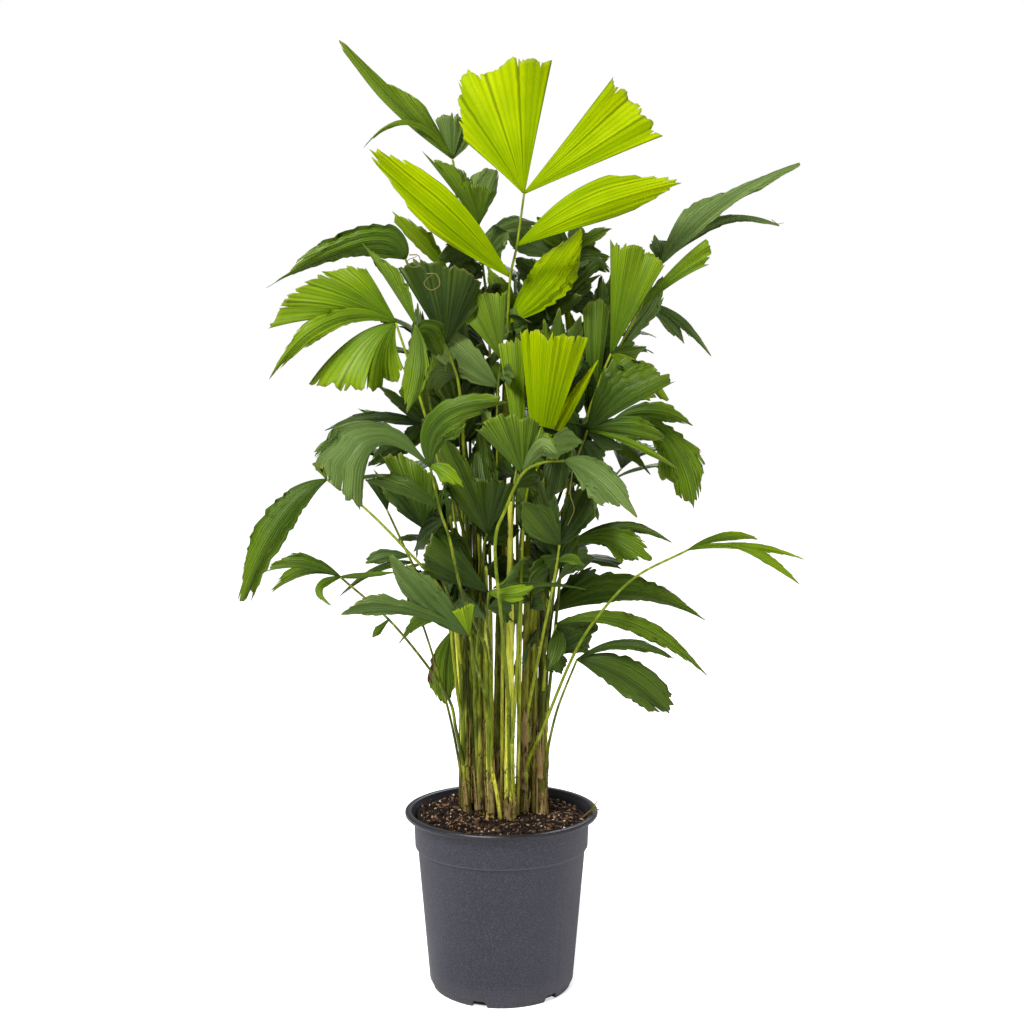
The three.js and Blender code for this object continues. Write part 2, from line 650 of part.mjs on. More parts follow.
    leaves: [
      blade(1, [218, 750, -50], 56, 1, { cuts: [0.3, 0], power: 1.6 }),
      blade(1, [210, 673, -40], 30, 0.6, { lift: 8 }),
      blade(1, [222, 638, -70], 9, 0.5, { lift: 8, tone: "fresh" }),
    ],
  },
  {
    name: "ribbed_right", cane: "g", from: 440, tone: "green",
    stalk: [[96, 620, 50], [140, 702, 30]],
    leaves: [
      blade(1, [239, 606, -10], 46, 0.5, { shift: 16, lift: 30, grows: "late" }),
      blade(1, [237, 693, 20], 26, 0.5, { lift: 14 }),
      blade(0.6, [186, 631, 10], 14, 0.4, { lift: 14, tone: "deep" }),
    ],
  },
  {
    name: "centre_right", cane: "f", from: 320, tone: "deep",
    stalk: [[66, 506, -76], [72, 546, -84]],
    leaves: [
      blade(1, [26, 600, -112], 46, 0.5, {}),
      blade(1, [44, 634, -90], 24, 0.4, { tone: "grey" }),
      blade(1, [118, 626, -70], 44, 0.5, {}),
      blade(0.4, [103, 519, -90], 14, 0.4, { lift: 8, tone: "green" }),
    ],
  },
  {
    name: "forked_right", cane: "h", from: 400, tone: "green",
    stalk: [[66, 500, -30], [77, 541, -34]],
    leaves: [
      blade(1, [217, 545, -60], 14, 0.4, { lift: 27, tone: "deep" }),
      blade(1, [178, 530, -80], 40, 0.4, { lift: 22, grows: "late" }),
    ],
  },
  {
    name: "far_right", cane: "f", from: 250, tone: "fresh",
    stalk: [[50, 312, -52], [88, 405, -64], [120, 457, -70], [165, 505, -74], [232, 540, -78]],
    leaves: [
      blade(4, [324, 551, -50], 12, 0.5, { lift: 11 }),
      blade(4, [381, 526, -90], 10, 0.4, { lift: 12 }),
      blade(4, [373, 494, -120], 14, 0.5, { lift: 24, grows: "late" }),
    ],
  },
  {
    name: "broad_right", cane: "g", from: 340, tone: "deep",
    stalk: [[58, 430, 34], [64, 464, 30]],
    leaves: [
      blade(1, [256, 450, 10], 50, 0.72, { lift: 22, grows: "tailed" }),
      blade(1, [120, 520, 60], 34, 0.5, {}),
    ],
  },
  {
    name: "arching_right", cane: "h", from: 330, tone: "green",
    stalk: [[58, 410, -28], [68, 447, -36]],
    leaves: [
      blade(1, [254, 384, -60], 24, 0.4, { lift: 29 }),
      blade(1, [122, 443, -20], 24, 0.5, { tone: "deep" }),
      blade(0.8, [58, 388, -70], 18, 0.5, { lift: 10, shift: 8, tone: "deep" }),
      blade(0.9, [112, 412, -10], 20, 0.5, { tone: "deep" }),
    ],
  },
  {
    name: "low_right", cane: "h", from: 240, tone: "green",
    stalk: [[60, 302, -24], [71, 345, -34], [94, 403, -50]],
    leaves: [
      blade(2, [212, 342, -70], 56, 0.45, { lift: 14, cuts: [0.1, 0.15] }),
      blade(2, [219, 402, -100], 15, 0.3, { lift: 18, tone: "deep" }),
    ],
  },
];

function handLeaf(row, curve, count) {
  const base = curve.getPoint(row.at / count);
  const depth = row.tip[2];
  const scale = sightScale((depth + base.y) / 2);
  return {
    ...row,
    base,
    tip: seen(...row.tip),
    bend: new THREE.Vector3(row.shift * scale, 0, row.lift * scale),
    width: row.width * scale,
    facing: TO_EYE,
    push: seen(row.tip[0], row.tip[1], depth + SWING_STEP).sub(seen(...row.tip)),
  };
}

// Stalks leave their cane steeply. A shift climbs the cane or bows the stalk to miss its neighbours.
function stalkLine(cane, from, points, shift) {
  const [bowAcross, bowDepth] = STALK_BOWS[shift % STALK_BOWS.length];
  const height = from + (Math.floor(shift / STALK_BOWS.length) % 4) * STALK_RISE_STEP;
  const turn = STALK_TURNS_DEG[Math.floor(shift / STALK_BOWS.length / 4)];
  const inside = canePoint(cane, height);
  const level = canePoint(cane, height + FOOT_RISE);
  const outward = points[0].clone().sub(inside).setZ(0).normalize();
  outward.applyAxisAngle(UP, THREE.MathUtils.degToRad(turn));
  const line = caneLine(cane);
  const radius = caneRadius(cane, (height - line.v0.z) / (line.v2.z - line.v0.z));
  const lead = level.addScaledVector(outward, radius + STALK_FOOT_RADIUS + 1);
  const middle = lead.clone().lerp(points[0], 0.5);
  middle.add(new THREE.Vector3(bowAcross, bowDepth, 0));
  return smoothCurve([inside.addScaledVector(outward, 0.4 * radius), lead, middle, ...points]);
}

const stalkRadius = (t) => THREE.MathUtils.lerp(STALK_FOOT_RADIUS, STALK_TIP_RADIUS, Math.pow(t, 0.8));
const stalkSteps = (points) => points.length + 2;

// The fronds at the sides and back, which the front hides, from a seeded rule
function seededDraw(seed) {
  let state = seed;
  return () => {
    state = (state * 16807) % 2147483647;
    return state / 2147483647;
  };
}

const WILD = [
  { name: "back_top", cane: "l", from: 600, azimuth: 84, reach: 150, height: 900, size: 120 },
  { name: "back_high_left", cane: "m", from: 560, azimuth: 118, reach: 170, height: 820, size: 125 },
  { name: "back_high_right", cane: "g", from: 540, azimuth: 52, reach: 165, height: 810, size: 120 },
  { name: "back_middle", cane: "l", from: 460, azimuth: 92, reach: 190, height: 700, size: 130 },
  { name: "back_left", cane: "m", from: 440, azimuth: 132, reach: 180, height: 640, size: 125 },
  { name: "back_right", cane: "g", from: 400, azimuth: 48, reach: 185, height: 640, size: 125 },
  { name: "back_low_left", cane: "m", from: 330, azimuth: 112, reach: 190, height: 520, size: 115 },
  { name: "back_low_right", cane: "l", from: 320, azimuth: 66, reach: 190, height: 510, size: 115 },
  { name: "front_high", cane: "e", from: 560, azimuth: -80, reach: 110, height: 740, size: 105 },
];

function wildFrond(row, index) {
  const draw = seededDraw(977 + 131 * index);
  const angle = THREE.MathUtils.degToRad(row.azimuth);
  const outward = new THREE.Vector3(Math.cos(angle), Math.sin(angle), 0);
  const sideways = new THREE.Vector3(-outward.y, outward.x, 0);
  const root = canePoint(CANES[row.cane], row.from);
  const climb = row.height - row.from;
  const points = [0.55, 0.85, 1].map((share) =>
    root.clone().addScaledVector(outward, row.reach * share * share).addScaledVector(UP, climb * share),
  );
  const leaves = [];
  const place = (at, heading, length, droop, tail) => {
    const way = THREE.MathUtils.degToRad(heading);
    const out = outward.clone().multiplyScalar(Math.cos(way)).addScaledVector(sideways, Math.sin(way));
    leaves.push({ at, out, length: length * row.size, droop, tail, width: (0.4 + 0.1 * draw()) * row.size });
  };
  for (const side of [1, -1]) {
    const tail = side > 0 ? 0.1 : 0.9;
    place(side > 0 ? 1 : 1.4, side * (58 + 22 * draw()), 0.9 + 0.2 * draw(), 0.2, tail);
  }
  place(2, 30 + 14 * draw(), 1, 0.12, 0.2);
  place(2, -20 - 14 * draw(), 0.9, 0.16, 0.8);
  return { points, leaves };
}

function wildLeaf(row, curve, count) {
  const base = curve.getPoint(row.at / count);
  const rise = 0.55 - 2.2 * row.droop;
  const tip = base.clone().addScaledVector(row.out, row.length).addScaledVector(UP, row.length * rise);
  return {
    ...HAND,
    wild: true,
    base,
    tip,
    bend: UP.clone().multiplyScalar(0.13 * row.length),
    width: row.width,
    spread: 0,
    tail: row.tail,
    cuts: [0.35, 0.35],
    grows: "blade",
    facing: UP.clone().addScaledVector(row.out, -0.4).normalize(),
    push: UP.clone().multiplyScalar(SWING_STEP),
  };
}

// Each frond keeps to its own space. A stalk that would meet what is placed already tries its next
// shift, a leaflet its next swing, and one that finds no room is skipped.
const placed = [];

function boxesMeet(a, b) {
  return [0, 1, 2].every((i) => a.min[i] <= b.max[i] && b.min[i] <= a.max[i]);
}

function touches(solid, owner) {
  const box = solid.boundingBox();
  return placed.some(
    (other) =>
      other.owner !== owner &&
      boxesMeet(box, other.box) &&
      other.solid.intersect(solid).volume() > 0,
  );
}

function settle(solid, owner) {
  placed.push({ solid, owner, box: solid.boundingBox() });
}

function placeStalk(frond) {
  const cane = CANES[frond.cane];
  const steps = stalkSteps(frond.points);
  for (let shift = 0; shift < STALK_SHIFTS; shift += 1) {
    const curve = stalkLine(cane, frond.from, frond.points, shift);
    const guard = limbSolid(curve, (t) => stalkRadius(t) + STALK_GUARD, STALK_SIDES, steps);
    if (touches(guard.subtract(caneSolid(cane, CLEAR)), frond.cane)) continue;
    frond.curve = curve;
    frond.solid = limbSolid(curve, stalkRadius, STALK_SIDES, steps);
    return true;
  }
  return false;
}

function placeLeaf(frond, leaf) {
  for (const swing of SWINGS) {
    const swung = { ...leaf, tip: leaf.tip.clone().addScaledVector(leaf.push, swing) };
    if (touches(leafSolid(swung, GUARD), frond.name)) continue;
    return leafSolid(swung, 0);
  }
  return null;
}

function largestPart(solid) {
  const parts = solid.decompose();
  return parts.reduce((best, part) => (part.volume() > best.volume() ? part : best));
}

// The whole palm
const palm = new THREE.Group();
palm.name = "potted_fishtail_palm";

function addMesh(name, solid, colour, roughness) {
  const material = new THREE.MeshStandardMaterial({ color: colour, roughness, metalness: 0 });
  const mesh = new THREE.Mesh(geometryOf(solid), material);
  mesh.name = name;
  palm.add(mesh);
}

addMesh("pot", potSolid(), "#4b4c52", 0.55);
addMesh("soil", soilSolid(0), "#2c211b", 0.95);
settle(potSolid(), "pot");

const raisedSoil = soilSolid(CLEAR);
settle(raisedSoil, "soil");
const STEM_TONES = { lime: "#a3b03a", fresh: "#8a9440", green: "#72803a", deep: "#6a5f40" };
for (const [letter, cane] of Object.entries(CANES)) {
  const solid = caneSolid(cane, 0).subtract(raisedSoil);
  addMesh("cane_" + letter, largestPart(solid), STEM_TONES[cane.tone], 0.6);
  settle(caneSolid(cane, CLEAR), letter);
}

const handFronds = FRONDS.map((row) => ({
  ...row,
  name: "frond_" + row.name,
  points: row.stalk.map((point) => seen(...point)),
}));
const wildFronds = WILD.map((row, index) => ({
  ...row,
  ...wildFrond(row, index),
  name: "frond_" + row.name,
  tone: "deep",
  wild: true,
}));
const fronds = [...handFronds, ...wildFronds].filter((frond) => {
  const done = placeStalk(frond);
  if (done) settle(frond.solid, frond.name);
  return done;
});

for (const frond of fronds) {
  const count = frond.points.length + 2;
  for (const row of frond.leaves) {
    const shifted = { ...row, at: row.at + 3 };
    const leaf = (frond.wild ? wildLeaf : handLeaf)(shifted, frond.curve, count);
    const solid = placeLeaf(frond, leaf);
    if (!solid) continue;
    settle(solid, frond.name);
    frond.solid = frond.solid.add(solid);
  }
}

for (const frond of fronds) {
  const trimmed = frond.solid.subtract(caneSolid(CANES[frond.cane], CLEAR));
  addMesh(frond.name, largestPart(trimmed), TONES[frond.tone], 0.5);
}

export default palm;
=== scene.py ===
"""Looks of a potted fishtail palm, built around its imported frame.

The pot, the soil, the canes and every frond of the frame are replaced by finer ones. Leaflets are
pleated sheets with a ragged end, grown by the same rule as the solids and swung as the solids were.
Lengths in the tables are millimetres on the upright plane through the pot's axis.
"""

import logging
import math
from dataclasses import dataclass, field, replace
from enum import Enum

import bpy
import numpy as np
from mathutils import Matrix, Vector

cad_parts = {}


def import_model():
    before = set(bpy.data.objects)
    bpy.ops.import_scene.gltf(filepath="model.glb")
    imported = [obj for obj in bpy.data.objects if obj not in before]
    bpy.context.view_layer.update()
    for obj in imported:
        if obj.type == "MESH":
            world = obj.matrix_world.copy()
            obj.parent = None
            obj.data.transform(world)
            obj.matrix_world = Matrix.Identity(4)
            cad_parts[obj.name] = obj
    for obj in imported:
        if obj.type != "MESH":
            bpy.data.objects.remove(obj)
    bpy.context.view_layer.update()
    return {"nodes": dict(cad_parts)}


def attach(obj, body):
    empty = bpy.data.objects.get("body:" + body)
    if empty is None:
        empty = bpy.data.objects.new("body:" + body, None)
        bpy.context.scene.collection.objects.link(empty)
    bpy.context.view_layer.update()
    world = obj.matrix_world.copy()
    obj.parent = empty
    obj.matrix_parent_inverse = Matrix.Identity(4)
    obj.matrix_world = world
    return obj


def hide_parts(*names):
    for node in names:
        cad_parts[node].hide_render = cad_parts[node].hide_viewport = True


log = logging.getLogger("palm")

MM = 0.001
EYE = np.array((13.1, -1536.0, 646.7))
EYE_PITCH = 0.039
LENS_MM = 43.63
TO_EYE = np.array((0.0, -1.0, 0.0))
UP = np.array((0.0, 0.0, 1.0))


class Tone(Enum):
    """The leaf finishes, from the youngest to the oldest and the pale underside."""

    LIME = "lime"
    FRESH = "fresh"
    GREEN = "green"
    DEEP = "deep"
    GREY = "grey"


class Growth(Enum):
    """How the width of a leaflet grows from its root to its end."""

    BLADE = "blade"
    WEDGE = "wedge"
    LATE = "late"
    STRAP = "strap"
    TAILED = "tailed"
    LANCE = "lance"


# Sizes shared with the solids, in millimetres, and the solids' rule for swings, shifts and draws
SOIL_TOP = 209.0
SOIL_HEAP = 5.0
SOIL_FALL_RIGHT = 0.028
SOIL_FALL_BACK = 0.02
SOIL_LUMP = 1.2
STEP_RADIUS = 104.4
FLARE = 0.28
FLARE_LENGTH = 26.0
STALK_FOOT_RADIUS = 2.9
STALK_TIP_RADIUS = 1.5
FOOT_RISE = 30.0
LEAF_ROOT_WIDTH = 3.2
LEAF_ROOT_SINK = 1.0
LEAF_THINNEST = 1.3
LEAF_CUP = 0.09
SWINGS = (0, 1, -1, 2, -2, 3, -3, 4, -4, 5, -5, 6, -6)
SWING_STEP = 14.0
STALK_SHIFTS = 60
STALK_RISE_STEP = 12.0
STALK_BOWS = ((0, 0), (0, 8), (0, -8), (7, 0), (-7, 0))
STALK_TURNS_DEG = (0, 40, -40)
STALK_CLIMBS = 4
CANE_SINK = 6.0
CANE_BOW = (0.4, 0.38)
WILD_SEED = 977
WILD_SEED_STEP = 131
DRAW_FACTOR = 16807
DRAW_RANGE = 2147483647

# How far off a vertex of the solid may be, in millimetres
STALK_MISS = 0.5
LEAF_MISS = 1.5


def risen(t: np.ndarray, start: float, span: float) -> np.ndarray:
    """How far each value has risen over a span from a start, 0 to 1."""
    return np.clip((t - start) / span, 0, 1)


def unit(v: np.ndarray) -> np.ndarray:
    """Vectors scaled to length one along the last axis."""
    return v / np.maximum(np.linalg.norm(v, axis=-1, keepdims=True), 1e-12)


def sight_scale(depth: float) -> float:
    """How much wider a thing at a depth behind the plane is than it looks on the plane."""
    return (depth - EYE[1]) / -EYE[1]


def seen(across: float, up: float, depth: float) -> np.ndarray:
    """The point at a depth that the eye sees at across and up on the upright plane."""
    k = sight_scale(depth)
    return np.array((EYE[0] + (across - EYE[0]) * k, depth, EYE[2] + (up - EYE[2]) * k))


def soil_height(x: float, y: float) -> float:
    """Height of the soil's surface, heaped round the canes and fallen at the right and back."""
    share = min(1.0, math.hypot(x, y) / STEP_RADIUS)
    heap = SOIL_HEAP * (1 - share * share)
    lump = SOIL_LUMP * math.sin(x / 15 + 1) * math.cos(y / 19)
    return SOIL_TOP + heap - SOIL_FALL_RIGHT * x - SOIL_FALL_BACK * y + lump


def rotated(v: np.ndarray, axis: np.ndarray, angle: np.ndarray) -> np.ndarray:
    """Vectors turned about unit axes by angles in radians."""
    c = np.cos(angle)[..., None]
    s = np.sin(angle)[..., None]
    dot = np.sum(v * axis, axis=-1, keepdims=True)
    return v * c + np.cross(axis, v) * s + axis * dot * (1 - c)


@dataclass(frozen=True)
class Leaflet:
    """One leaflet: its root on the stalk, its tip as seen, and its outline.

    tail is where the longest rib runs between the left edge, 0, and the right edge, 1; cuts says how
    much shorter the ribs at those edges are; spread, in degrees, makes it a fan. What only the fine
    leaflet has: twist in degrees, pleat and ragged as strengths, folds as a number, tint as the share
    of the lighter colour, which on some leaflets is painted light and on others painted shade, teeth as
    pairs of place across and reach, dry spots as place across, place along and size, and finer, the
    values that replace these.
    """

    at: float
    tip: tuple
    width: float
    spread: float
    tail: float
    grows: Growth = Growth.BLADE
    cuts: tuple = (0.3, 0.3)
    power: float = 1.3
    turn: float = 0.0
    shift: float = 0.0
    lift: float = 0.0
    tone: Tone | None = None
    twist: float = 0.0
    pleat: float = 1.0
    ragged: float = 1.0
    folds: int = 0
    tint: float | None = None
    teeth: tuple = ()
    dry: tuple = ()
    finer: dict = field(default_factory=dict)


def blade(at: float, tip: tuple, width: float, tail: float, **more) -> Leaflet:
    """A wedge-shaped leaflet with an oblique ragged end."""
    return Leaflet(at, tip, width, 0, tail, **more)


def fan(at: float, tip: tuple, spread: float, tail: float, **more) -> Leaflet:
    """A leaflet whose ribs fan out from its root."""
    return Leaflet(at, tip, 0, spread, tail, **{"cuts": (0.15, 0.15), **more})


def strap(at: float, tip: tuple, width: float, **more) -> Leaflet:
    """A narrow leaflet of nearly even width."""
    return Leaflet(at, tip, width, 0, 0.5, **{"grows": Growth.STRAP, **more})


@dataclass(frozen=True)
class FrondRow:
    """One frond: its cane, the height of its foot, its tone, its stalk's points and its leaflets."""

    name: str
    cane: str
    start: float
    tone: Tone
    stalk: list
    leaves: list


@dataclass(frozen=True)
class WildRow:
    """A frond of the hidden sides: the way it leans and how large it grows.

    finer holds the values that replace these in the fine frond, trim how much of each leaflet it keeps.
    """

    name: str
    cane: str
    start: float
    azimuth: float
    reach: float
    height: float
    size: float
    finer: dict = field(default_factory=dict)
    trim: float = 1.0


@dataclass(frozen=True)
class CaneRow:
    """A cane: foot across and depth, top across, depth and height, radii of both ends."""

    foot: tuple
    top: tuple
    radii: tuple
    tone: Tone


CANES = {
    "a": CaneRow((-41, -8), (-50, -28, 440), (4.6, 2.6), Tone.FRESH),
    "b": CaneRow((-31, 16), (-44, 42, 620), (5, 2.8), Tone.GREEN),
    "c": CaneRow((-26, -22), (-34, -48, 600), (5.2, 2.8), Tone.FRESH),
    "d": CaneRow((-13, -40), (-20, -72, 520), (4.4, 2.6), Tone.LIME),
    "k": CaneRow((-6, 2), (6, 12, 790), (7.4, 3.2), Tone.DEEP),
    "e": CaneRow((10, -34), (11, -62, 600), (7, 3), Tone.LIME),
    "l": CaneRow((6, 36), (2, 78, 700), (6, 3), Tone.GREEN),
    "f": CaneRow((27, -14), (35, -26, 640), (5.8, 2.8), Tone.DEEP),
    "g": CaneRow((36, 20), (44, 52, 620), (5, 2.8), Tone.GREEN),
    "h": CaneRow((50, -4), (52, -6, 560), (5.6, 2.8), Tone.DEEP),
    "m": CaneRow((-16, 36), (-32, 88, 640), (5.2, 2.8), Tone.FRESH),
}


WILD = [
    WildRow("back_top", "l", 600, 84, 150, 900, 120),
    WildRow("back_high_left", "m", 560, 118, 170, 820, 125),
    WildRow("back_high_right", "g", 540, 52, 165, 810, 120, trim=0.72),
    WildRow("back_middle", "l", 460, 92, 190, 700, 130),
    WildRow("back_left", "m", 440, 132, 180, 640, 125, trim=0.85),
    WildRow("back_right", "g", 400, 48, 185, 640, 125),
    WildRow("back_low_left", "m", 330, 112, 190, 520, 115, trim=0.6),
    WildRow("back_low_right", "l", 320, 66, 190, 510, 115),
    WildRow("front_high", "e", 560, -80, 110, 740, 105, dict(azimuth=70, reach=60, height=690, size=80)),
]


# Teeth and dry places that the leaflets named after them have
TOP_FAN_TEETH = (
    (0, 0.61), (0.08, 0.67), (0.1, 0.73), (0.15, 0.74), (0.22, 0.87), (0.27, 0.89), (0.3, 0.98), (0.4, 1.03),
    (0.44, 0.96), (0.55, 0.94), (0.64, 0.95), (0.72, 0.99), (0.78, 0.96), (0.86, 0.975), (0.94, 0.97),
    (1, 1),
)
RIGHT_FAN_TEETH = (
    (0, 1), (0.1, 0.96), (0.24, 1.01), (0.34, 0.97), (0.52, 1.02), (0.62, 0.98), (0.8, 1.03), (0.86, 0.99),
    (1, 1.05),
)
STEPPED_TEETH = (
    (0, 0.93), (0.1, 0.97), (0.2, 1), (0.28, 0.95), (0.34, 0.8), (0.4, 0.62), (0.55, 0.58), (0.7, 0.52),
    (0.85, 0.43), (1, 0.34),
)
LEFT_BLADE_TEETH = (
    (0, 0.5), (0.04, 0.56), (0.06, 0.66), (0.14, 0.7), (0.17, 0.78), (0.26, 0.84), (0.3, 0.93), (0.38, 0.97),
    (0.43, 0.93), (0.5, 1), (0.56, 0.96), (0.66, 0.97), (0.7, 0.9), (0.8, 0.9), (0.84, 0.84), (0.94, 0.83),
    (1, 0.74),
)
RIGHT_BLADE_TEETH = (
    (0, 0.62), (0.08, 0.68), (0.12, 0.76), (0.22, 0.79), (0.25, 0.86), (0.36, 0.88), (0.4, 0.95),
    (0.5, 0.94), (0.54, 0.99), (0.62, 0.97), (0.68, 1.01), (0.74, 0.93), (0.8, 0.94), (0.86, 0.86),
    (0.92, 0.84), (1, 0.7),
)
DRY_MARGIN = ((0.99, 0.5, 0.09), (1.0, 0.68, 0.12), (0.95, 0.84, 0.07))
SMALL_SPOTS = ((0.42, 0.3, 0.012), (0.46, 0.42, 0.012), (0.4, 0.5, 0.01))


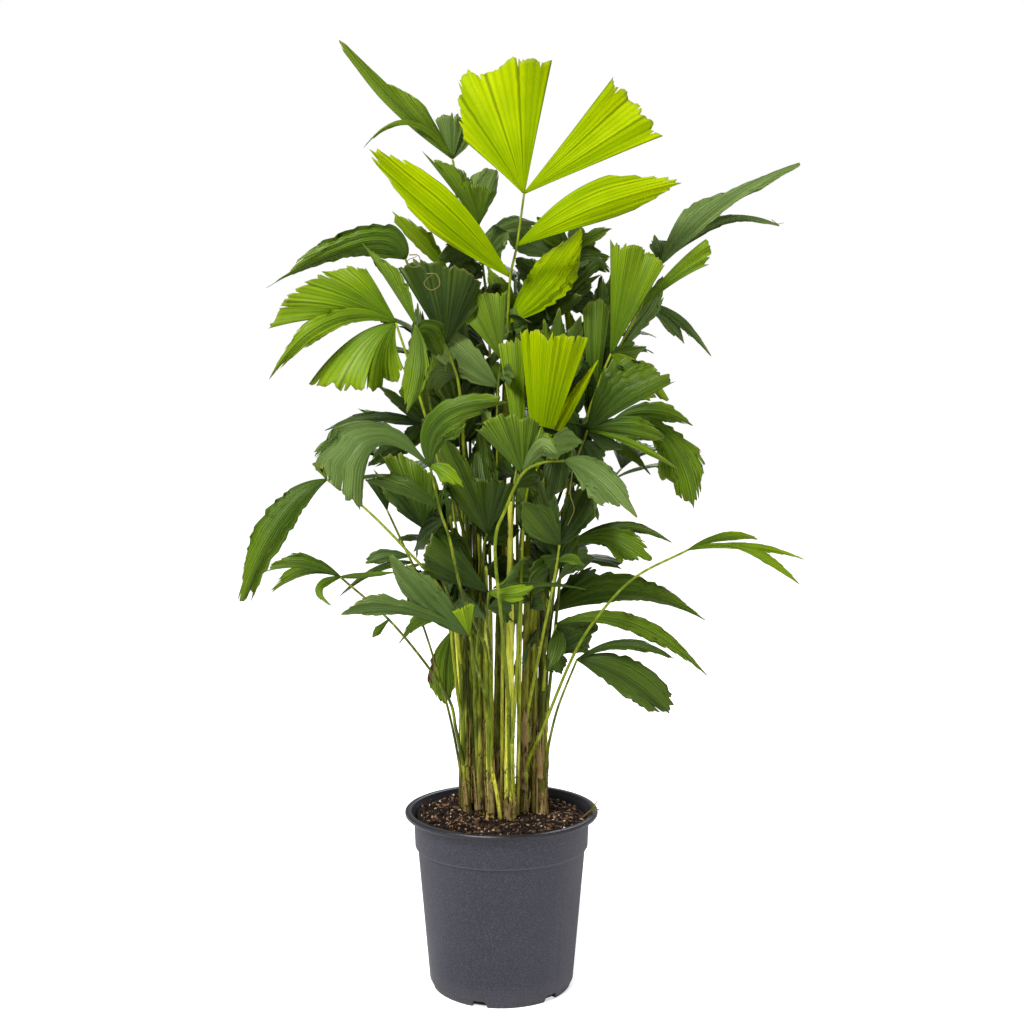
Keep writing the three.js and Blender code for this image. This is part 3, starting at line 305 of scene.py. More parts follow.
FRONDS = [
    FrondRow("top", "k", 752, Tone.LIME, [(8, 820, 10), (11, 876, 4), (19, 914, 0), (28, 978, -4)], [
        fan(3, (59, 1138, -14), 59, 1, cuts=(0.42, 0), power=5, finer=dict(
            tip=(62, 1138, -14), spread=61, teeth=TOP_FAN_TEETH, folds=4, pleat=0.36, tint=0.45
        )),
        fan(3, (136, 1117, -24), 31, 0, cuts=(0, 0.05), finer=dict(
            spread=30, teeth=RIGHT_FAN_TEETH, folds=3, pleat=0.38, tint=0.4
        )),
        blade(1, (-165, 1028, -40), 58, 0.46, cuts=(0.5, 0.12), lift=-4, finer=dict(
            width=54, tail=0.36, teeth=LEFT_BLADE_TEETH, folds=3, tint=0.3, pleat=0.55
        )),
        blade(2, (218, 992, -40), 58, 0.66, cuts=(0.12, 0.5), lift=14, finer=dict(
            width=52, lift=8, teeth=RIGHT_BLADE_TEETH, folds=3, tint=0.4, pleat=0.5
        )),
        blade(0, (100, 940, 60), 46, 0.4, lift=-6, finer=dict(width=56, tint=0.1, ragged=0.6)),
    ]),
    FrondRow("tip_left", "b", 360, Tone.GREEN, [
        (-40, 760, 62), (-50, 900, 66), (-57, 1000, 60), (-60, 1020, 56)
    ], [
        blade(3, (-195, 1166, 20), 32, 0.4, grows=Growth.TAILED, shift=3, lift=3, finer=dict(
            tip=(-198, 1164, 20), tail=0.24, teeth=STEPPED_TEETH, grows=Growth.BLADE, shift=-1, lift=-4,
            twist=30, width=40, tint=0.9
        )),
        blade(3, (-56, 1077, 70), 30, 0.1, tone=Tone.GREY),
        strap(3, (-169, 1029, 10), 8, lift=46, finer=dict(tip=(-173, 1028, 10), lift=40)),
    ]),
    FrondRow("inner_left", "k", 470, Tone.GREEN, [(-16, 820, 52), (-24, 900, 56), (-28, 940, 52)], [
        blade(2, (-97, 1030, 30), 30, 0, cuts=(0, 0.5)),
        fan(2, (-40, 988, 44), 45, 0, cuts=(0, 0.1)),
        blade(2, (8, 1006, 90), 34, 0.7, tone=Tone.GREY, finer=dict(
            tip=(-2, 1010, 90), width=48, tail=0.85
        )),
        blade(1.4, (46, 950, 100), 22, 0.6, lift=12, tone=Tone.GREY, finer=dict(
            tip=(46, 940, 100), lift=8
        )),
    ]),
    FrondRow("arching_left", "c", 380, Tone.DEEP, [
        (-50, 722, -52), (-64, 780, -44), (-95, 845, -40), (-118, 898, -44)
    ], [
        blade(3, (-290, 862, -70), 46, 0.5, shift=30, lift=44, grows=Growth.TAILED, finer=dict(
            tip=(-293, 859, -70), lift=37, twist=45, grows=Growth.STRAP, width=44, tail=0.44,
            tone=Tone.GREEN
        )),
        strap(3, (-140, 872, -30), 9, lift=16, shift=-24),
        fan(1.2, (-128, 888, -62), 74, 0, cuts=(0, 0.25), finer=dict(pleat=0.5, folds=4, tint=0.1)),
    ]),
    FrondRow("lime_left", "m", 420, Tone.FRESH, [(-58, 780, 60), (-66, 882, 40)], [
        blade(1, (-136, 958, 20), 28, 0.3, cuts=(0.1, 0.5)),
        blade(0.5, (-112, 905, 70), 30, 0.5, tone=Tone.GREY),
        blade(1, (-24, 874, 64), 40, 0.6, lift=6, tone=Tone.DEEP),
    ]),
    FrondRow("broad_left", "a", 395, Tone.FRESH, [(-66, 600, -52), (-104, 740, -70), (-130, 820, -78)], [
        fan(2, (-288, 815, -110), 60, 0, cuts=(0, 0.62), power=1, lift=8, finer=dict(
            cuts=(0, 0.5), spread=57, pleat=0.5, folds=5, tint=0.25
        )),
        blade(2, (-289, 747, -130), 27, 0.5, lift=37, shift=-6),
        fan(2, (-240, 746, -90), 64, 1, cuts=(0.44, 0), power=1, lift=18, finer=dict(
            spread=80, pleat=0.35, folds=4, tint=0.3
        )),
    ]),
    FrondRow("folded_left", "c", 500, Tone.GREEN, [(-84, 700, -96), (-106, 818, -104)], [
        blade(1, (-172, 918, -90), 24, 0, cuts=(0, 0.55)),
        blade(1, (-119, 706, -120), 26, 0.5, shift=8, finer=dict(width=34)),
        blade(0.9, (-74, 776, -60), 46, 0.5, lift=14),
    ]),
    FrondRow("upper_right", "l", 470, Tone.DEEP, [
        (104, 700, 62), (137, 772, 58), (168, 832, 54), (198, 893, 48)
    ], [
        blade(3, (368, 1008, 10), 30, 0.5, shift=-8, lift=16, grows=Growth.TAILED, finer=dict(
            tip=(373, 1021, 10), lift=12, twist=60, width=36, tail=0.75, tone=Tone.GREY, tint=0.8
        )),
        blade(3, (345, 940, 60), 15, 0.5, lift=16, tone=Tone.GREY, finer=dict(
            lift=28, twist=50, width=18, tint=0.9
        )),
        blade(3, (187, 926, 66), 14, 0.4, tone=Tone.GREY, finer=dict(width=24)),
        blade(2.1, (256, 912, 30), 32, 0.2, grows=Growth.WEDGE, cuts=(0, 0.12), tone=Tone.FRESH, finer=dict(
            tip=(256, 918, 30), lift=7
        )),
        blade(1.2, (205, 886, 70), 26, 0.3, tone=Tone.GREY),
    ]),
    FrondRow("fan_right", "g", 400, Tone.FRESH, [(92, 660, 24), (118, 740, 22), (135, 782, 20)], [
        fan(2, (147, 916, 6), 24, 0, cuts=(0, 0.06), finer=dict(
            tip=(149, 921, 6), spread=32, tail=0.2, tint=0.2, pleat=0.6
        )),
        blade(2, (208, 722, 70), 44, 0.05, lift=16, cuts=(0, 0.2)),
    ]),
    FrondRow("high_behind", "l", 560, Tone.GREEN, [(44, 800, 128), (74, 880, 134), (86, 906, 136)], [
        blade(2, (137, 936, 120), 16, 0.5, lift=4),
        blade(2, (96, 946, 150), 22, 0.5, tone=Tone.GREY),
        blade(2, (42, 950, 130), 30, 0.5),
        blade(1.5, (-4, 938, 160), 36, 0.5, tone=Tone.GREY),
        blade(1, (138, 878, 110), 20, 0.5, lift=16, tone=Tone.DEEP),
        blade(0.7, (14, 900, 150), 34, 0.5, tone=Tone.DEEP),
        blade(0.6, (128, 842, 150), 34, 0.5, tone=Tone.DEEP),
    ]),
    FrondRow("shade_left", "b", 400, Tone.DEEP, [(-50, 650, 26), (-52, 700, 22)], [
        blade(1, (-24, 800, 10), 40, 0.5),
        blade(1, (-86, 796, 0), 40, 0.5, tone=Tone.GREEN),
        blade(0.6, (-96, 738, 30), 34, 0.5),
        blade(0.4, (-4, 716, 20), 34, 0.5),
    ]),
    FrondRow("shade_right", "f", 420, Tone.DEEP, [(50, 640, 4), (60, 716, 0)], [
        blade(1, (98, 830, -14), 44, 0.5),
        blade(1, (52, 826, -20), 36, 0.5, tone=Tone.GREEN),
        blade(0.4, (108, 764, 10), 36, 0.5),
        blade(0.2, (130, 706, -10), 36, 0.5),
    ]),
    FrondRow("drooping_right", "l", 400, Tone.GREY, [(120, 740, 110), (160, 815, 100), (180, 842, 94)], [
        blade(2, (262, 776, 90), 12, 0.3, lift=16),
        blade(2, (227, 793, 100), 17, 0.6, lift=4),
        blade(1.4, (137, 884, 140), 16, 0.5, lift=6),
    ]),
    FrondRow("behind_right", "l", 380, Tone.DEEP, [(22, 760, 92), (24, 818, 90)], [
        blade(1, (88, 916, 100), 32, 0.5, tone=Tone.GREEN),
        blade(1, (128, 902, 60), 30, 0.5),
        blade(1, (104, 856, 40), 30, 0.6),
        blade(1, (-20, 890, 110), 30, 0.5, tone=Tone.FRESH),
    ]),
    FrondRow("upright_right", "g", 500, Tone.GREEN, [(84, 610, 60), (112, 690, 70)], [
        blade(1, (118, 854, 60), 38, 0.5, grows=Growth.WEDGE, cuts=(0.1, 0.1)),
        blade(1, (76, 852, 84), 26, 0.3, tone=Tone.LIME),
        blade(1, (170, 690, 40), 20, 0.4, tone=Tone.FRESH),
        blade(1, (142, 898, 96), 38, 0.5, tone=Tone.DEEP),
    ]),
    FrondRow("heart", "e", 300, Tone.LIME, [(30, 600, -76), (44, 640, -80)], [
        blade(1, (66, 812, -96), 88, 0.5, grows=Growth.WEDGE, cuts=(0.03, 0.03), finer=dict(
            pleat=1.5, folds=10, tint=0.06
        )),
        blade(0, (10, 812, -60), 34, 0.5, grows=Growth.WEDGE, cuts=(0.05, 0.05), tone=Tone.FRESH),
        blade(1, (122, 778, -70), 16, 0.7),
    ]),
    FrondRow("inner_wedge", "k", 380, Tone.GREEN, [(-5, 716, -34), (0, 776, -44)], [
        fan(1, (8, 862, -50), 48, 1, cuts=(0.1, 0), finer=dict(tint=0.8, pleat=0.6)),
        blade(0.3, (-85, 815, -60), 50, 0.6, cuts=(0.2, 0.2), tone=Tone.GREY),
    ]),
    FrondRow("crossing_left", "m", 360, Tone.DEEP, [(-70, 650, 40), (-92, 696, 30)], [
        strap(1, (-156, 747, 20), 16),
        blade(1, (-221, 686, 40), 14, 0.4, lift=12),
        blade(1, (-182, 717, 70), 11, 0.4, lift=-6),
        blade(1, (-110, 772, 40), 50, 0.5, tone=Tone.GREEN),
    ]),
    FrondRow("front_left", "d", 400, Tone.GREEN, [
        (-50, 490, -128), (-64, 552, -146), (-76, 590, -156), (-88, 642, -166)
    ], [
        blade(3, (9, 722, -196), 46, 0.35, shift=-34, lift=20, cuts=(0.1, 0.5), finer=dict(
            tint=0.25, width=52
        )),
        blade(
            3, (-172, 588, -190), 72, 0.03, shift=-26, lift=52, grows=Growth.LATE, tone=Tone.GREY,
            finer=dict(width=78, pleat=0.35, ragged=0.7, tint=0.3),
        ),
        blade(3, (-47, 617, -180), 24, 0.3, lift=10, finer=dict(tone=Tone.FRESH, tint=0.3)),
        blade(2, (-170, 626, -150), 26, 0.2, tone=Tone.DEEP, lift=4),
    ]),
    FrondRow("left_fan", "c", 380, Tone.DEEP, [(-60, 470, -84), (-82, 530, -102), (-95, 566, -108)], [
        fan(2, (-152, 661, -124), 94, 0, cuts=(0, 0.5), power=1.1, tone=Tone.GREEN, finer=dict(
            spread=76, cuts=(0, 0.72)
        )),
        strap(2, (-164, 628, -100), 12, lift=14),
    ]),
    FrondRow("little_left", "b", 380, Tone.DEEP, [(-104, 510, 16), (-142, 590, 6)], [
        fan(1, (-168, 627, 0), 52, 0, cuts=(0, 0.35)),
        blade(0.3, (-197, 512, 10), 15, 0.4, lift=24, tone=Tone.GREY, finer=dict(
            tip=(-174, 522, 10), lift=4, width=19
        )),
        strap(0.2, (-208, 474, -6), 9, lift=14),
    ]),
    FrondRow("far_left", "a", 330, Tone.GREEN, [
        (-68, 480, -24), (-120, 542, -18), (-172, 594, -10), (-216, 627, 0)
    ], [
        blade(3, (-320, 482, -30), 40, 0.5, shift=-1, lift=28, grows=Growth.LANCE, finer=dict(
            tip=(-327, 474, -30), shift=-5, width=43, grows=Growth.BLADE, cuts=(0.05, 0.3), lift=26,
            tint=0.3, pleat=0.6
        )),
        blade(3, (-310, 474, 20), 15, 0.4, shift=2, lift=6, tone=Tone.DEEP, finer=dict(
            tip=(-314, 468, 20), shift=-10, lift=14, width=11
        )),
        blade(3, (-236, 645, 40), 14, 0.5, lift=8),
    ]),
    FrondRow("low_left", "a", 262, Tone.GREEN, [
        (-64, 350, -26), (-90, 392, -34), (-140, 453, -44), (-200, 506, -54)
    ], [
        blade(3, (-297, 514, -70), 20, 0.2, cuts=(0, 0.4), lift=11),
        blade(3, (-293, 480, -40), 15, 0.2, lift=17),
        strap(3, (-209, 468, -90), 11, shift=-22, lift=4),
        strap(3, (-126, 512, -80), 7),
        blade(2, (-160, 431, -40), 16, 0.4, grows=Growth.WEDGE),
    ]),
    FrondRow("lower_left", "d", 330, Tone.FRESH, [(-30, 392, -120), (-40, 433, -134)], [
        blade(1, (-142, 536, -170), 38, 0.5, lift=-6, finer=dict(tone=Tone.GREY, tint=0.1, width=44)),
        blade(1, (-194, 456, -190), 28, 0.3, lift=18, grows=Growth.LATE, tone=Tone.GREY, finer=dict(
            tip=(-200, 458, -190), width=33
        )),
        fan(1, (-62, 464, -150), 56, 0, cuts=(0, 0), finer=dict(spread=40, tint=0.8)),
        blade(1, (-128, 420, -120), 24, 0.4, lift=18, tone=Tone.GREEN, finer=dict(
            tip=(-131, 416, -120), lift=34, width=22
        )),
    ]),
    FrondRow("dark_left", "d", 380, Tone.DEEP, [(-18, 450, -104), (-16, 487, -110)], [
        fan(1, (-74, 577, -140), 42, 1, cuts=(0.2, 0), power=1),
        blade(1, (42, 495, -150), 22, 0.4, tone=Tone.FRESH, lift=-4),
        strap(1, (113, 488, -120), 6, lift=9),
    ]),
    FrondRow("hanging_left", "b", 310, Tone.GREEN, [(-52, 400, 34), (-60, 440, 38)], [
        blade(1, (-68, 342, 44), 40, 0.5, shift=-8, cuts=(0.2, 0.3), finer=dict(dry=DRY_MARGIN)),
        blade(1, (-90, 530, 70), 34, 0.4, tone=Tone.DEEP),
    ]),
    FrondRow("dark_centre", "c", 330, Tone.DEEP, [(-22, 540, -78), (-18, 560, -84)], [
        fan(1, (-42, 626, -96), 54, 0, cuts=(0, 0.02)),
        blade(1, (-78, 690, -60), 40, 0.6),
    ]),
    FrondRow("front_arch", "e", 330, Tone.FRESH, [
        (-8, 546, -150), (6, 592, -166), (26, 634, -176), (52, 648, -184), (78, 650, -190)
    ], [
        blade(4, (166, 587, -230), 44, 0.3, lift=20, tone=Tone.GREY, finer=dict(
            ragged=1.3, tint=0.6, tip=(169, 580, -252), width=49
        )),
        fan(2, (-36, 692, -190), 94, 0, cuts=(0, 0.35), tone=Tone.GREEN),
        blade(2, (70, 656, -210), 26, 0.3, lift=26, tone=Tone.GREY),
    ]),
    FrondRow("dark_shelf", "f", 560, Tone.DEEP, [(64, 650, -100), (75, 684, -112)], [
        blade(1, (-36, 694, -170), 26, 0.5, turn=50, lift=2),
        blade(1, (60, 600, -150), 36, 0.5, lift=-4),
    ]),
    FrondRow("grey_right", "h", 330, Tone.DEEP, [(84, 620, -20), (106, 688, -24)], [
        blade(1, (218, 750, -50), 56, 1, cuts=(0.3, 0), power=1.6, finer=dict(
            width=62, tone=Tone.GREEN, tint=0.02
        )),
        blade(1, (210, 673, -40), 30, 0.6, lift=8, finer=dict(tone=Tone.GREEN, tint=0.1)),
        blade(1, (222, 638, -70), 9, 0.5, lift=8, tone=Tone.FRESH),
    ]),
    FrondRow("ribbed_right", "g", 440, Tone.GREEN, [(96, 620, 50), (140, 702, 30)], [
        blade(1, (239, 606, -10), 46, 0.5, shift=16, lift=30, grows=Growth.LATE, finer=dict(
            tip=(238, 588, -10), width=68, tint=0.4
        )),
        blade(1, (237, 693, 20), 26, 0.5, lift=14),
        blade(0.6, (186, 631, 10), 14, 0.4, lift=14, tone=Tone.DEEP),
    ]),
    FrondRow("centre_right", "f", 320, Tone.DEEP, [(66, 506, -76), (72, 546, -84)], [
        blade(1, (26, 600, -112), 46, 0.5),
        blade(1, (44, 634, -90), 24, 0.4, tone=Tone.GREY),
        blade(1, (118, 626, -70), 44, 0.5),
        blade(0.4, (103, 519, -90), 14, 0.4, lift=8, tone=Tone.GREEN),
    ]),
    FrondRow("forked_right", "h", 400, Tone.GREEN, [(66, 500, -30), (77, 541, -34)], [
        blade(1, (217, 545, -60), 14, 0.4, lift=27, tone=Tone.DEEP),
        blade(1, (178, 530, -80), 40, 0.4, lift=22, grows=Growth.LATE, finer=dict(
            tip=(189, 523, -80), width=50, lift=25
        )),
    ]),
    FrondRow("far_right", "f", 250, Tone.FRESH, [
        (50, 312, -52), (88, 405, -64), (120, 457, -70), (165, 505, -74), (232, 540, -78)
    ], [
        blade(4, (324, 551, -50), 12, 0.5, lift=11),
        blade(4, (381, 526, -90), 10, 0.4, lift=12),
        blade(4, (373, 494, -120), 14, 0.5, lift=24, grows=Growth.LATE),
    ]),
    FrondRow("broad_right", "g", 340, Tone.DEEP, [(58, 430, 34), (64, 464, 30)], [
        blade(1, (256, 450, 10), 50, 0.72, lift=22, grows=Growth.TAILED, finer=dict(
            tip=(261, 446, 10), lift=30, width=40, tone=Tone.GREEN, tint=0.42
        )),
        blade(1, (120, 520, 60), 34, 0.5),
    ]),
    FrondRow("arching_right", "h", 330, Tone.GREEN, [(58, 410, -28), (68, 447, -36)], [
        blade(1, (254, 384, -60), 24, 0.4, lift=29, finer=dict(
            tip=(261, 377, -60), lift=38, width=24, tint=0.65
        )),
        blade(1, (122, 443, -20), 24, 0.5, tone=Tone.DEEP, finer=dict(width=34)),
        blade(0.8, (58, 388, -70), 18, 0.5, lift=10, shift=8, tone=Tone.DEEP, finer=dict(width=24)),
        blade(0.9, (112, 412, -10), 20, 0.5, tone=Tone.DEEP, finer=dict(width=32)),
    ]),
    FrondRow("low_right", "h", 240, Tone.GREEN, [(60, 302, -24), (71, 345, -34), (94, 403, -50)], [
        blade(2, (212, 342, -70), 56, 0.45, lift=14, cuts=(0.1, 0.15), finer=dict(
            tip=(213, 331, -70), lift=14, width=49, tail=0.56, tone=Tone.DEEP, tint=0.75, pleat=0.5,
            dry=SMALL_SPOTS
        )),
        blade(2, (219, 402, -100), 15, 0.3, lift=18, tone=Tone.DEEP, finer=dict(
            tip=(222, 398, -100), lift=24, width=15
        )),
    ]),
]


# Leaflets in the shade of the crown, which only the fine plant has
SHADED = {
    "arching_left": [blade(2.6, (-84, 884, -40), 30, 0.5)],
    "inner_wedge": [blade(0.3, (-8, 772, 0), 38, 0.5, tone=Tone.DEEP)],
    "tip_left": [
        blade(3, (-63, 1075, 50), 42, 0.5, grows=Growth.WEDGE, cuts=(0.1, 0.1), tone=Tone.GREY, tint=0.6),
    ],
    "dark_centre": [
        blade(0.6, (24, 566, -40), 36, 0.5), blade(0.5, (-27, 692, 0), 44, 0.5),
        blade(0.6, (-30, 668, -50), 40, 0.5),
    ],
    "centre_right": [
        blade(0.4, (14, 606, -20), 30, 0.5), blade(0.5, (16, 640, -60), 34, 0.5),
        blade(0.6, (50, 516, -70), 26, 0.5), blade(0.2, (96, 560, -50), 24, 0.5),
    ],
    "left_fan": [blade(2, (-158, 640, -90), 26, 0.5)],
    "shade_right": [blade(1, (72, 840, -30), 30, 0.5), blade(0.7, (20, 776, 0), 38, 0.5)],
    "behind_right": [
        blade(1, (112, 902, 110), 44, 0.5, tone=Tone.GREY), blade(1, (122, 880, 80), 36, 0.5),
        blade(0.6, (70, 850, 80), 36, 0.5),
    ],
    "shade_left": [
        blade(0.3, (-8, 764, 0), 38, 0.5), blade(1, (-6, 786, 20), 36, 0.5),
        blade(1, (-46, 828, 10), 34, 0.5), blade(0.3, (-90, 690, 20), 34, 0.5),
    ],
    "crossing_left": [
        blade(1, (-104, 850, 60), 34, 0.5), blade(0.4, (-30, 700, 50), 40, 0.5),
        blade(1, (-124, 668, 30), 26, 0.5), blade(0.9, (-168, 642, 30), 30, 0.5),
    ],
    "high_behind": [
        blade(1.4, (134, 900, 130), 34, 0.5, tone=Tone.DEEP), blade(2, (118, 928, 140), 26, 0.5),
        blade(0.6, (60, 880, 120), 34, 0.5),
    ],
    "grey_right": [
        blade(0.8, (124, 644, -4), 36, 0.5), blade(1, (150, 664, -10), 24, 0.5),
        blade(0.6, (60, 740, 0), 40, 0.5),
    ],
    "fan_right": [
        blade(2, (178, 790, 60), 26, 0.5, tone=Tone.GREEN),
        blade(1, (60, 790, 40), 40, 0.5, tone=Tone.DEEP),
    ],
    "inner_left": [
        blade(1, (10, 932, 70), 24, 0.5, tone=Tone.GREY),
        blade(0.8, (-70, 880, 60), 34, 0.5, tone=Tone.DEEP),
    ],
    "upright_right": [
        blade(0.6, (40, 700, 60), 40, 0.5, tone=Tone.DEEP),
        blade(1, (120, 780, 80), 36, 0.5, tone=Tone.DEEP),
        blade(1, (124, 884, 84), 44, 0.5, tone=Tone.DEEP),
    ],
    "hanging_left": [blade(0.6, (-20, 520, 50), 34, 0.5, tone=Tone.DEEP)],
    "arching_right": [
        blade(0.2, (116, 441, -30), 42, 0.5, tone=Tone.DEEP),
        blade(0.2, (74, 384, -30), 30, 0.5, tone=Tone.DEEP),
    ],
}

# Young shoots and a cut stub at the foot of the clump: points across, depth and height, and end radii
SHOOTS = [
    ([(19, -28, 205), (21, -34, 300), (23, -40, 420), (26, -48, 560)], (3.0, 1.5)),
    ([(-12, -14, 205), (-12, -20, 330), (-13, -26, 480), (-16, -30, 640)], (3.2, 1.7)),
    ([(43, 8, 205), (42, 6, 330), (46, 4, 470), (50, 4, 580)], (2.8, 1.6)),
    ([(24, 22, 205), (21, 24, 400), (19, 30, 650)], (3.2, 1.8)),
    ([(1, -14, 205), (1, -18, 360), (2, -20, 560)], (2.6, 1.5)),
    ([(-48, 6, 205), (-49, 4, 280), (-54, 0, 390), (-60, -6, 480)], (2.2, 1.4)),
    ([(57, -4, 205), (57, -5, 222), (56, -6, 236)], (2.2, 0.5)),
    ([(-1, -44, 214), (-5, -48, 246), (-10, -52, 272)], (2.6, 2.2)),
]

# Thin stalks that lean out at the left, whose ends the low leaves cover, in the same terms
LEANING = [
    ([(-46, -4, 205), (-52, -5, 270), (-68, -8, 350), (-96, -14, 446), (-112, -18, 480)], (2.0, 1.2)),
    ([(-44, 10, 205), (-47, 10, 290), (-56, 12, 380), (-70, 14, 470)], (2.1, 1.3)),
]

# A small dark sprig that leans over the rim at the right, in the same terms
SPRIG = [
    ([(98, -18, 207), (106, -20, 215), (113, -22, 222)], (1.7, 1.1)),
    ([(106, -20, 215), (113, -21, 219), (121, -22, 221)], (1.4, 0.5)),
    ([(110, -21, 218), (114, -22, 225), (118, -23, 232)], (1.2, 0.4)),
    ([(111, -21, 219), (112, -24, 226), (111, -26, 232)], (1.1, 0.4)),
]

# Dry threads that hang on leaflets and stalks: points as seen, and their radius
THREADS = [
    ([
        (-113, 903, -82), (-102, 902, -84), (-100, 891, -84),
        (-110, 888, -83), (-115, 896, -82), (-104, 901, -81),
    ], 0.7),
    ([
        (-92, 880, -84), (-80, 879, -86), (-76, 866, -86),
        (-87, 860, -85), (-95, 869, -84), (-84, 880, -83),
    ], 0.7),
    ([(88, 640, -114), (85, 610, -116), (90, 590, -116), (82, 570, -115)], 0.8),
    ([(300, 545, -26), (309, 538, -28), (320, 535, -28)], 0.5),
    ([(332, 946, 58), (339, 941, 58), (347, 942, 58)], 0.5),
]


class Curve:
    """A smooth line through points, as the solids' stalks follow it."""

    def __init__(self, points: list) -> None:
        """Keeps the points, with one more beyond each end."""
        p = np.array(points)
        self.count = len(p) - 1
        self.points = np.vstack((2 * p[0] - p[1], p, 2 * p[-1] - p[-2]))

    def at(self, t: np.ndarray) -> np.ndarray:
        """Points of the line at shares of its run, 0 to 1."""
        run = np.clip(np.asarray(t, float), 0, 1) * self.count
        i = np.minimum(run.astype(int), self.count - 1)
        w = (run - i)[..., None]
        a, b, c, d = (self.points[i + k] for k in range(4))
        start, end = 0.5 * (c - a), 0.5 * (d - b)
        square, cube = 3 * (c - b) - 2 * start - end, 2 * (b - c) + start + end
        return b + start * w + square * w**2 + cube * w**3

    def way(self, t: np.ndarray) -> np.ndarray:
        """Unit directions of the line at shares of its run."""
        t = np.asarray(t, float)
        return unit(self.at(np.minimum(t + 1e-4, 1)) - self.at(np.maximum(t - 1e-4, 0)))


class Cane:
    """One cane's line and thickness."""

    def __init__(self, row: CaneRow) -> None:
        """Works out the three points of the cane's bow."""
        x, y = row.foot
        across, depth, up = row.top
        self.row = row
        self.foot = np.array((x, y, soil_height(x, y) - CANE_SINK))
        self.tip = seen(across, up, depth)
        self.height = self.tip[2] - self.foot[2]
        self.middle = (self.foot + self.tip) / 2
        self.middle[:2] = self.foot[:2] + np.array(CANE_BOW) * (self.tip - self.foot)[:2]

    def at(self, t: np.ndarray) -> np.ndarray:
        """Points of the cane's line at shares of its run."""
        t = np.asarray(t, float)[..., None]
        return (1 - t) ** 2 * self.foot + 2 * t * (1 - t) * self.middle + t**2 * self.tip

    def way(self, t: np.ndarray) -> np.ndarray:
        """Unit directions of the cane's line."""
        t = np.asarray(t, float)[..., None]
        return unit(2 * (1 - t) * (self.middle - self.foot) + 2 * t * (self.tip - self.middle))

    def share(self, height: float) -> float:
        """The share of the run at a height."""
        return (height - self.foot[2]) / self.height

    def radius(self, t: np.ndarray) -> np.ndarray:
        """Radius at shares of the run, flared at the foot."""
        t = np.asarray(t, float)
        height = t * self.height
        thick, thin = self.row.radii
        return (thick + (thin - thick) * t) * (1 + FLARE * np.exp(-height / FLARE_LENGTH))


def stalk_radius(t: np.ndarray) -> np.ndarray:
    """Radius of a stalk from its foot, 0, to its tip, 1."""
    return STALK_FOOT_RADIUS + (STALK_TIP_RADIUS - STALK_FOOT_RADIUS) * np.asarray(t, float) ** 0.8


def stalk_line(cane: Cane, start: float, points: list, shift: int) -> Curve:
    """The line of a stalk for one of its possible shifts.

    Args:
        cane: the cane that it leaves.
        start: height of its foot.
        points: its named points in space.
        shift: which climb, bow and turn it takes.

    Returns:
        The curve from inside the cane to the last point.
    """
    bow = STALK_BOWS[shift % len(STALK_BOWS)]
    turn, climb = divmod(shift // len(STALK_BOWS), STALK_CLIMBS)
    height = start + climb * STALK_RISE_STEP
    inside = cane.at(min(max(cane.share(height), 0), 1))
    level = cane.at(min(max(cane.share(height + FOOT_RISE), 0), 1))
    outward = unit((points[0] - inside) * (1, 1, 0))
    outward = rotated(outward, UP, np.array(math.radians(STALK_TURNS_DEG[turn])))
    radius = float(cane.radius(cane.share(height)))
    lead = level + outward * (radius + STALK_FOOT_RADIUS + 1)
    middle = (lead + points[0]) / 2 + np.array((*bow, 0.0))
    return Curve([inside + outward * 0.4 * radius, lead, middle, *points])


def frames_along(ways: np.ndarray) -> tuple:
    """Two directions across a line at each of its points, carried along without a twist."""
    across = np.array((1.0, 0.0, 0.0))
    first = []
    for way in ways:
        across = unit(across - way * np.dot(across, way))
        first.append(across)
    first = np.array(first)
    return first, np.cross(ways, first)


WIDTHS = {
    Growth.BLADE: lambda t: np.sin(math.pi / 2 * risen(t, 0, 0.6)) * (1 - 0.3 * risen(t, 0.6, 0.4)),
    Growth.WEDGE: lambda t: t**0.9,
    Growth.LATE: lambda t: 0.16 * risen(t, 0, 0.2) + 0.84 * risen(t, 0.1, 0.65) ** 1.6,
    Growth.STRAP: lambda t: risen(t, 0, 0.25) ** 0.7 * (1 - 0.45 * t * t),
    Growth.TAILED: lambda t: risen(t, 0, 0.3) ** 0.7 * (1 - 0.82 * risen(t, 0.35, 0.65)),
    Growth.LANCE: lambda t: np.sin(math.pi * np.clip(0.03 + 0.93 * t, 0, 1)) ** 0.75,
}


